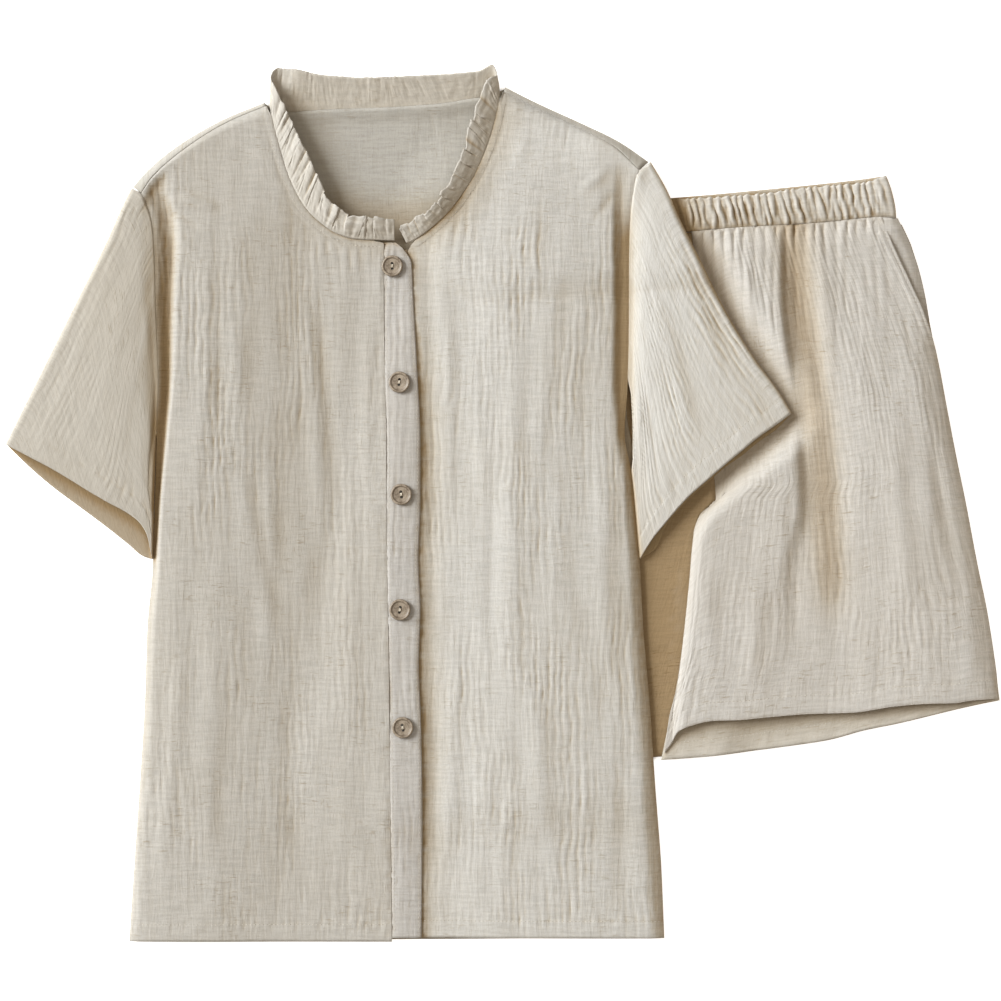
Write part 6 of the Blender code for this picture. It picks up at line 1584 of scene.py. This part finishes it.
def depth_of(points, top, cell=2.0):
    """How much light each point misses behind the cloth around it, most of all behind what stands on the window's side."""
    ny, nx = top.shape
    total = np.zeros(len(points))
    whole = 0.0
    for k in range(16):
        cx, cy = math.cos(2 * math.pi * k / 16), math.sin(2 * math.pi * k / 16)
        weight = 0.12 + 0.88 * max(0.0, math.cos(2 * math.pi * k / 16 - math.radians(KEY_AZIMUTH))) ** 1.5
        whole += weight
        horizon = np.zeros(len(points))
        for reach in (3.0, 5.0, 8.0, 12.0, 17.0, 23.0, 31.0):
            ix = np.clip(((points[:, 0] + cx * reach + 410.0) / cell).astype(int), 0, nx - 1)
            iy = np.clip(((points[:, 1] + cy * reach + 365.0) / cell).astype(int), 0, ny - 1)
            horizon = np.maximum(horizon, (top[iy, ix] - points[:, 2]) / reach)
        total += weight * horizon / np.sqrt(1.0 + horizon**2)
    return total / whole


def make(s, top):
    mesh = bpy.data.meshes.new(s["name"])
    quads = s["quads"][:, ::-1] if s["flip"] else s["quads"]
    count = len(quads)
    mesh.vertices.add(len(s["points"]))
    mesh.vertices.foreach_set("co", (s["points"] * MM).astype(np.float32).ravel())
    mesh.loops.add(count * 4)
    mesh.loops.foreach_set("vertex_index", quads.astype(np.int32).ravel())
    mesh.polygons.add(count)
    mesh.polygons.foreach_set("loop_start", np.arange(0, count * 4, 4, dtype=np.int32))
    mesh.polygons.foreach_set("loop_total", np.full(count, 4, np.int32))
    mesh.update(calc_edges=True)
    layer = mesh.uv_layers.new(name="cloth")
    layer.data.foreach_set("uv", (s["uv"][quads.ravel()] * MM).astype(np.float32).ravel())
    # painted shade: each point's fold value, from how much light the cloth around it blocks, scaled per piece and with
    # each piece's own added shade
    painted_fold_shade = mesh.attributes.new("painted_fold_shade", "FLOAT", "POINT")
    missing = depth_of(s["points"] + (0.0, 0.0, s["wall"] / 2), top)
    value = np.clip((missing - 0.03) * 2.4, 0.0, 1.0) * s["shade"] + s["extra"]
    painted_fold_shade.data.foreach_set("value", np.clip(value, 0.0, 1.0).astype(np.float32))
    mesh.validate()
    mesh.shade_smooth()
    mesh.materials.append(s["look"])
    made = bpy.data.objects.new("cloth_" + s["name"], mesh)
    bpy.context.scene.collection.objects.link(made)
    wall = made.modifiers.new("wall", "SOLIDIFY")
    wall.thickness = s["wall"] * MM
    wall.offset = 0.0
    wall.use_even_offset = False
    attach(made, "root")
    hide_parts(s["name"])
    return made


def on_grid(grid, rows, columns, lift):
    """Points on the surface at fractional rows and columns, lifted along its normals."""
    n = normals_of(grid)
    r0 = np.clip(np.floor(rows).astype(int), 0, grid.shape[0] - 2)
    c0 = np.clip(np.floor(columns).astype(int), 0, grid.shape[1] - 2)
    fr, fc = (rows - r0)[:, None], (columns - c0)[:, None]

    def pick(a):
        return (a[r0, c0] * (1 - fr) + a[r0 + 1, c0] * fr) * (1 - fc) + (a[r0, c0 + 1] * (1 - fr) + a[r0 + 1, c0 + 1] * fr) * fc

    normal = pick(n)
    return pick(grid) + normal * lift, normal


def row_line(grid, distance, from_end=False, start=0.0, stop=1.0):
    """Rows and columns of the line that runs across the columns at a distance from the first or last row."""
    _, _, bottom, top = distances(grid)
    d = top if from_end else bottom
    columns = np.linspace(start, stop, 400) * (grid.shape[1] - 1)
    rows = []
    for c in columns:
        column = d[:, int(round(c))]
        at = np.arange(grid.shape[0], dtype=float)
        rows.append(np.interp(distance, column[::-1] if from_end else column, at[::-1] if from_end else at))
    return np.array(rows), columns


def column_line(grid, distance, from_end=False, start=0.0, stop=1.0):
    left, right, _, _ = distances(grid)
    d = right if from_end else left
    rows = np.linspace(start, stop, 500) * (grid.shape[0] - 1)
    columns = []
    for r in rows:
        row = d[int(round(r))]
        at = np.arange(grid.shape[1], dtype=float)
        columns.append(np.interp(distance, row[::-1] if from_end else row, at[::-1] if from_end else at))
    return rows, np.array(columns)


def stitches(name, lines, look):
    """Rows of stitches as one mesh. Each line is (points, normals) on the cloth's surface."""
    vertices, faces = [], []
    for points, normals in lines:
        run = np.concatenate([[0.0], np.cumsum(np.linalg.norm(np.diff(points, axis=0), axis=1))])
        for start in np.arange(0.4, run[-1] - STITCH_LENGTH, STITCH_PITCH):
            ends = [np.array([np.interp(start + f * STITCH_LENGTH, run, points[:, i]) for i in range(3)]) for f in (0.0, 0.5, 1.0)]
            n = np.array([np.interp(start, run, normals[:, i]) for i in range(3)])
            n /= np.linalg.norm(n)
            along_it = ends[2] - ends[0]
            side = np.cross(n, along_it)
            side /= max(np.linalg.norm(side), 1e-9)
            base = len(vertices)
            for f, (e, half, up) in enumerate(zip(ends, (0.55, 1.0, 0.55), (-0.12, 0.2, -0.12))):
                w = side * STITCH_WIDTH / 2 * half
                vertices += [e - w - n * 0.25, e - w * 0.7 + n * up, e + w * 0.7 + n * up, e + w - n * 0.25]
            for f in range(2):
                a = base + 4 * f
                for k in range(4):
                    m = (k + 1) % 4
                    faces.append((a + k, a + 4 + k, a + 4 + m, a + m))
            faces.append((base + 3, base + 2, base + 1, base))
            faces.append((base + 8, base + 9, base + 10, base + 11))
    mesh = bpy.data.meshes.new(name)
    mesh.from_pydata((np.array(vertices) * MM).tolist(), [], faces)
    mesh.shade_smooth()
    mesh.materials.append(look)
    made = bpy.data.objects.new(name, mesh)
    bpy.context.scene.collection.objects.link(made)
    bm = bmesh.new()
    bm.from_mesh(mesh)
    bmesh.ops.recalc_face_normals(bm, faces=bm.faces)
    bm.to_mesh(mesh)
    bm.free()
    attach(made, "root")
    return made


def plain(name, bm, look):
    mesh = bpy.data.meshes.new(name)
    bm.to_mesh(mesh)
    bm.free()
    mesh.shade_smooth()
    mesh.set_sharp_from_angle(angle=math.radians(40))
    mesh.materials.append(look)
    made = bpy.data.objects.new(name, mesh)
    bpy.context.scene.collection.objects.link(made)
    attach(made, "root")
    return made


def fine_button(index, x, y, look, thread_look):
    """A turned button with a raised rim, a dished face, two holes and the thread through them."""
    turn = np.linspace(0.0, 2.0 * math.pi, 16, endpoint=False)
    bx = x + np.concatenate([BUTTON_R * np.cos(turn), [0.0]])
    by = y + np.concatenate([BUTTON_R * np.sin(turn), [0.0]])
    under = support(bx, by) + body_height(bx, by)
    slope_x, slope_y, _ = np.linalg.lstsq(np.column_stack([bx - x, by - y, np.ones(len(bx))]), under, rcond=None)[0]
    z = float((under - slope_x * (bx - x) - slope_y * (by - y)).max()) + PLACKET_RISE + LAYER_GAP
    bm = bmesh.new()
    segments = 64
    profile = (
        (0.0, 0.0), (BUTTON_R - 1.5, 0.0), (BUTTON_R - 0.5, 0.35), (BUTTON_R - 0.1, 0.9), (BUTTON_R, 1.5),
        (BUTTON_R - 0.15, 2.2), (BUTTON_R - 0.5, 2.7), (BUTTON_R - 1.0, 2.95), (BUTTON_R - 1.5, 2.9),
        (BUTTON_R - 2.0, 2.55), (BUTTON_R - 2.4, 2.3), (BUTTON_R - 3.4, 2.2), (3.9, 2.3), (3.4, 2.24), (2.8, 2.14), (0.0, 2.1),
    )
    rings = []
    for r, h in profile:
        if r == 0.0:
            rings.append([bm.verts.new((0.0, 0.0, h * MM))])
        else:
            rings.append([bm.verts.new((r * MM * math.cos(2 * math.pi * k / segments), r * MM * math.sin(2 * math.pi * k / segments), h * MM)) for k in range(segments)])
    for low, high in zip(rings, rings[1:]):
        for k in range(segments):
            n = (k + 1) % segments
            if len(low) == 1:
                bm.faces.new((low[0], high[n], high[k]))
            elif len(high) == 1:
                bm.faces.new((low[k], low[n], high[0]))
            else:
                bm.faces.new((low[k], low[n], high[n], high[k]))
    made = plain(f"button_{index}", bm, look)
    made.location = (x * MM, y * MM, z * MM)
    made.rotation_euler = (math.atan(slope_y), -math.atan(slope_x), 0.35 * math.sin(3.0 * index))
    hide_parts(f"shirt_button_{index}")
    for k, offset in enumerate((-0.5, 0.5)):
        cutter_bm = bmesh.new()
        bmesh.ops.create_cone(cutter_bm, cap_ends=True, segments=24, radius1=1.15 * MM, radius2=1.15 * MM, depth=8 * MM)
        cutter_mesh = bpy.data.meshes.new(f"hole_{index}_{k}")
        cutter_bm.to_mesh(cutter_mesh)
        cutter_bm.free()
        cutter = bpy.data.objects.new(f"hole_{index}_{k}", cutter_mesh)
        bpy.context.scene.collection.objects.link(cutter)
        cutter.parent = made
        cutter.location = (0.0, offset * 4.0 * MM, 1.0 * MM)
        bpy.context.view_layer.update()
        cut = made.modifiers.new(f"hole_{k}", "BOOLEAN")
        cut.operation = "DIFFERENCE"
        cut.solver = "EXACT"
        cut.object = cutter
        graph = bpy.context.evaluated_depsgraph_get()
        cut_mesh = bpy.data.meshes.new_from_object(made.evaluated_get(graph))
        made.modifiers.clear()
        old = made.data
        made.data = cut_mesh
        bpy.data.meshes.remove(old)
        bpy.data.objects.remove(cutter, do_unlink=True)
    made.data.shade_smooth()
    made.data.set_sharp_from_angle(angle=math.radians(40))
    # thread: three strands side by side, from hole to hole and down into both
    bm = bmesh.new()
    for strand in (-0.38, 0.0, 0.38):
        path = [(strand, -1.25, 1.0), (strand * 1.1, -1.22, 2.0), (strand * 1.3, -0.9, 2.5), (strand * 1.4, 0.0, 2.72), (strand * 1.3, 0.9, 2.5), (strand * 1.1, 1.22, 2.0), (strand, 1.25, 1.0)]
        loops = []
        for i, (px, py, pz) in enumerate(path):
            a = np.array(path[max(i - 1, 0)])
            b = np.array(path[min(i + 1, len(path) - 1)])
            d = (b - a) / np.linalg.norm(b - a)
            across = np.array((1.0, 0.0, 0.0))
            up = np.cross(d, across)
            loops.append([bm.verts.new(tuple((np.array((px, py, pz)) + 0.24 * (math.cos(q) * across + math.sin(q) * up)) * MM)) for q in np.linspace(0, 2 * math.pi, 8, endpoint=False)])
        for low, high in zip(loops, loops[1:]):
            for k in range(8):
                n = (k + 1) % 8
                bm.faces.new((low[k], low[n], high[n], high[k]))
        bm.faces.new(loops[0][::-1])
        bm.faces.new(loops[-1])
    bmesh.ops.recalc_face_normals(bm, faces=bm.faces)
    strands = plain(f"button_{index}_thread", bm, thread_look)
    strands.location = made.location
    strands.rotation_euler = made.rotation_euler
    return made


# ---------------------------------------------------------------- materials
# The gauze is one undyed cloth. The colours of its pieces differ as lit and shaded copies: painted light on the lighter
# left front and left sleeve, and painted shade on the darker right front, right sleeve and inside of the back.
OATMEAL = (0.47, 0.455, 0.435)
PAINTED_SHADE_BROWN = (0.62, 0.46, 0.27)
body_r = gauze("gauze_front_right", (0.425, 0.41, 0.384), PAINTED_SHADE_BROWN, 1.0, 1.1, 0.0)
body_l = gauze("gauze_front_left", (0.478, 0.47, 0.452), PAINTED_SHADE_BROWN, 1.0, 0.85, 0.31)
sleeve_r_look = gauze("gauze_sleeve_right", (0.435, 0.412, 0.372), PAINTED_SHADE_BROWN, 0.5, 1.0, 0.62)
sleeve_l_look = gauze("gauze_sleeve_left", (0.535, 0.53, 0.515), PAINTED_SHADE_BROWN, 0.9, 0.8, 0.94)
shorts_look = gauze("gauze_shorts", OATMEAL, PAINTED_SHADE_BROWN, 0.95, 1.2, 1.27)
shaded_inside_look = gauze("gauze_inside_shaded", (0.385, 0.373, 0.347), PAINTED_SHADE_BROWN, 0.7, 0.8, 1.53)
leg_inside_look = gauze("gauze_leg_inside", (0.46, 0.44, 0.405), PAINTED_SHADE_BROWN, 0.7, 0.8, 1.72)
trim_look = gauze("gauze_trim", (0.47, 0.455, 0.43), PAINTED_SHADE_BROWN, 0.35, 0.8, 1.91)
frill_look = gauze("gauze_frill", (0.468, 0.45, 0.418), PAINTED_SHADE_BROWN, 0.3, 0.7, 2.63)
placket_look = gauze("gauze_placket", (0.415, 0.402, 0.388), PAINTED_SHADE_BROWN, 0.8, 1.1, 2.2)
thread_look = thread("thread", (0.56, 0.53, 0.47))
cord_look = thread("button_thread", (0.66, 0.6, 0.5))
button_look = horn("horn")

# ---------------------------------------------------------------- pieces
back_points, back_quads, back_uv, shoulder_seams = fine_back()
front_r, uv_r, armhole_shade_r = fine_front(-1)
front_l, uv_l, armhole_shade_l = fine_front(1)
grid_sheet("shirt_front_right", front_r, uv_r, WALL, body_r, extra=armhole_shade_r)
grid_sheet("shirt_front_left", front_l, uv_l, WALL, body_l, extra=armhole_shade_l)
# painted shade on the inside of the back, added lower down in the neck opening
sheet("shirt_back", back_points, back_quads, back_uv, WALL, shaded_inside_look, slot="gauze_back", shade=0.25, extra=0.36 * smooth((262.0 - back_points[:, 1]) / 34.0))
ring_r, uv_sr, sleeve_top_r, sleeve_shade_r = fine_sleeve(-1)
ring_l, uv_sl, sleeve_top_l, sleeve_shade_l = fine_sleeve(1)
grid_sheet("shirt_sleeve_right", ring_r, uv_sr, WALL, sleeve_r_look, closed=True, extra=sleeve_shade_r)
grid_sheet("shirt_sleeve_left", ring_l, uv_sl, WALL, sleeve_l_look, flip=True, closed=True, extra=sleeve_shade_l)
placket_top, uv_p = fine_placket(True)
placket_under, uv_q = fine_placket(False)
grid_sheet("shirt_placket_right", placket_top, uv_p, 1.3, placket_look)
grid_sheet("shirt_placket_left", placket_under, uv_q, PLACKET_WALL, placket_look)
frill, uv_f, frill_shade = fine_ruffle()
grid_sheet("shirt_neck_ruffle", frill, uv_f, 0.7, frill_look, shade=0.3, extra=frill_shade)
band_ring, uv_b, band_top = fine_band()
grid_sheet("shorts_waistband", band_ring, uv_b, 1.2, trim_look, closed=True)
leg, uv_leg = fine_leg(band_top)
# painted shade along the trough of the fold down the left leg
lx, ly = leg[..., 0], leg[..., 1]
trough_x = np.interp(ly, (-130.0, -60.0, 60.0, 160.0, 232.0), (262.0, 262.0, 254.0, 238.0, 232.0))
trough = 0.52 * np.exp(-(((lx - trough_x) / 14.0) ** 2)) * smooth((ly + 110.0) / 60.0)
grid_sheet("shorts_front_left", leg, uv_leg, WALL, shorts_look, shade=0.5, extra=trough)
leg_back, uv_lb = fine_leg_back()
grid_sheet("shorts_back_left", leg_back, uv_lb, WALL, leg_inside_look, slot="gauze_back", shade=0.45)
for is_front, name in ((True, "shorts_front_right"), (False, "shorts_back_right")):
    hidden, uv_h, shadow = fine_right_leg(is_front, leg)
    grid_sheet(name, hidden, uv_h, WALL, shorts_look if is_front else shaded_inside_look, slot="gauze" if is_front else "gauze_back", extra=shadow)
for table, name in ((POCKET_LEFT, "shorts_pocket_left"), (POCKET_RIGHT, "shorts_pocket_right")):
    facing, uv_k = fine_pocket(table, band_top)
    grid_sheet(name, facing, uv_k, WALL, shorts_look, shade=0.25)

top_map = height_map()
made = {s["name"]: make(s, top_map) for s in SHEETS}

# ---------------------------------------------------------------- stitching
lift = WALL / 2 + 0.05
shirt_lines = []
for grid, side in ((front_r, -1), (front_l, 1)):
    rows, columns = row_line(grid, 13.6, start=0.01, stop=0.99)
    shirt_lines.append(on_grid(grid, rows, columns, lift))
    seam = neck_seam()
    part = seam[8:128] if side < 0 else seam[290:392]
    shirt_lines.append(on_cloth(grid, beside(part, -5.0), lift))
for grid in (sleeve_top_r, sleeve_top_l):
    rows, columns = row_line(grid, 15.0, from_end=True, start=0.03, stop=0.97)
    shirt_lines.append(on_grid(grid, rows, columns, lift))
for end in (False, True):
    rows, columns = column_line(placket_top, 2.4, from_end=end, start=0.01, stop=0.985)
    shirt_lines.append(on_grid(placket_top, rows, columns, 0.7))
shirt_stitch = stitches("stitches_shirt", shirt_lines, thread_look)
shorts_lines = []
rows, columns = row_line(leg, 15.2, start=0.01, stop=0.99)
shorts_lines.append(on_grid(leg, rows, columns, lift))
for d in (2.6, 7.2):
    rows, columns = column_line(leg, d, from_end=True, start=0.885, stop=0.995)
    shorts_lines.append(on_grid(leg, rows, columns, lift))
rows, columns = row_line(leg_back, 14.0, start=0.02, stop=0.98)
shorts_lines.append(on_grid(leg_back, rows, columns, lift))
shorts_stitch = stitches("stitches_shorts", shorts_lines, thread_look)

for i, (bx, by) in enumerate(BUTTONS):
    fine_button(i + 1, bx, by, button_look, cord_look)

# ---------------------------------------------------------------- floor, light and camera
floor_x = np.concatenate([[-2000.0], np.arange(-450.0, 451.0, 4.0), [2000.0]])
floor_y = np.concatenate([[-2000.0], np.arange(-402.0, 403.0, 4.0), [2000.0]])
fx, fy = np.meshgrid(floor_x, floor_y)
floor_mesh = bpy.data.meshes.new("floor")
floor_mesh.from_pydata(np.column_stack([fx.ravel(), fy.ravel(), np.zeros(fx.size)]).dot(np.eye(3) * MM).tolist(), [], grid_quads(*fx.shape).tolist())


def spread(mask, cells, grow):
    """A mask grown, or shrunk, by a number of cells."""
    pick = np.maximum if grow else np.minimum
    for _ in range(cells):
        mask = pick.reduce([np.roll(mask, shift, axis) for axis in (0, 1) for shift in (-1, 0, 1)])
    return mask


# the floor's own light stops under the cloth, and in the narrow gaps between its pieces
blocked = spread(spread((top_map > 0.0).astype(float), 2, True), 5, False)
ix = np.clip(((fx + 410.0) / 2.0).astype(int), 0, top_map.shape[1] - 1)
iy = np.clip(((fy + 365.0) / 2.0).astype(int), 0, top_map.shape[0] - 1)
covered = np.where((np.abs(fx) < 408.0) & (np.abs(fy) < 362.0), blocked[iy, ix], 0.0)
lit = floor_mesh.attributes.new("lit", "FLOAT", "POINT")
lit.data.foreach_set("value", (1.0 - covered).astype(np.float32).ravel())
floor = bpy.data.objects.new("floor", floor_mesh)
bpy.context.scene.collection.objects.link(floor)
floor.location = (0.0, 0.0, -0.0004)
t = Tree("floor")
speck = t.noise(t.add("ShaderNodeTexCoord").outputs["Object"], 3.0, 2.0)
t.link(t.mix(t.ramp(speck, 0.3, 0.7), (0.9, 0.9, 0.895, 1.0), (0.94, 0.94, 0.935, 1.0)), t.shader.inputs["Base Color"])
t.shader.inputs["Roughness"].default_value = 0.9
# painted light: the floor glows white where it is not under the cloth, which washes out the cloth's shadows on it
t.shader.inputs["Emission Color"].default_value = (1.0, 1.0, 1.0, 1.0)
glow = t.add("ShaderNodeAttribute", attribute_name="lit").outputs["Fac"]
t.link(t.math("MULTIPLY", glow, 0.72), t.shader.inputs["Emission Strength"])
floor_mesh.materials.append(t.material)

scene = bpy.context.scene
world = bpy.data.worlds.new("studio")
scene.world = world
world.use_nodes = True
world.node_tree.nodes["Background"].inputs[0].default_value = (1.0, 0.86, 0.68, 1.0)
world.node_tree.nodes["Background"].inputs[1].default_value = 0.42


def soft_sun(name, azimuth, elevation, strength, spread, colour):
    """Even light from one side, as from a wide window far off. Azimuth is counted from +X towards +Y."""
    data = bpy.data.lights.new(name, "SUN")
    data.energy = strength
    data.angle = math.radians(spread)
    data.color = colour
    lamp = bpy.data.objects.new(name, data)
    a, e = math.radians(azimuth), math.radians(elevation)
    toward = Vector((math.cos(a) * math.cos(e), math.sin(a) * math.cos(e), math.sin(e)))
    lamp.rotation_euler = toward.to_track_quat("Z", "Y").to_euler()
    lamp.location = toward * 3.0
    scene.collection.objects.link(lamp)


soft_sun("key", KEY_AZIMUTH, KEY_ELEVATION, 5.6, 36.0, (0.97, 0.995, 1.0))
soft_sun("fill", 20.0, 68.0, 0.35, 30.0, (1.0, 0.98, 0.95))

PHOTO_SCALE = 0.8       # millimetres a pixel
PHOTO_ZERO = (502.5, 503.0)
LENS = 110.0
camera_data = bpy.data.cameras.new("camera")
camera_data.lens = LENS
camera_data.sensor_width = 36.0
camera_data.dof.use_dof = False
camera = bpy.data.objects.new("camera", camera_data)
wide = 1001 * PHOTO_SCALE * MM
camera.location = ((500.0 - PHOTO_ZERO[0]) * PHOTO_SCALE * MM, (PHOTO_ZERO[1] - 500.0) * PHOTO_SCALE * MM, wide * LENS / 36.0 + 0.006)
camera_data.clip_start = 0.05
scene.collection.objects.link(camera)
scene.camera = camera
scene.view_settings.view_transform = "Standard"
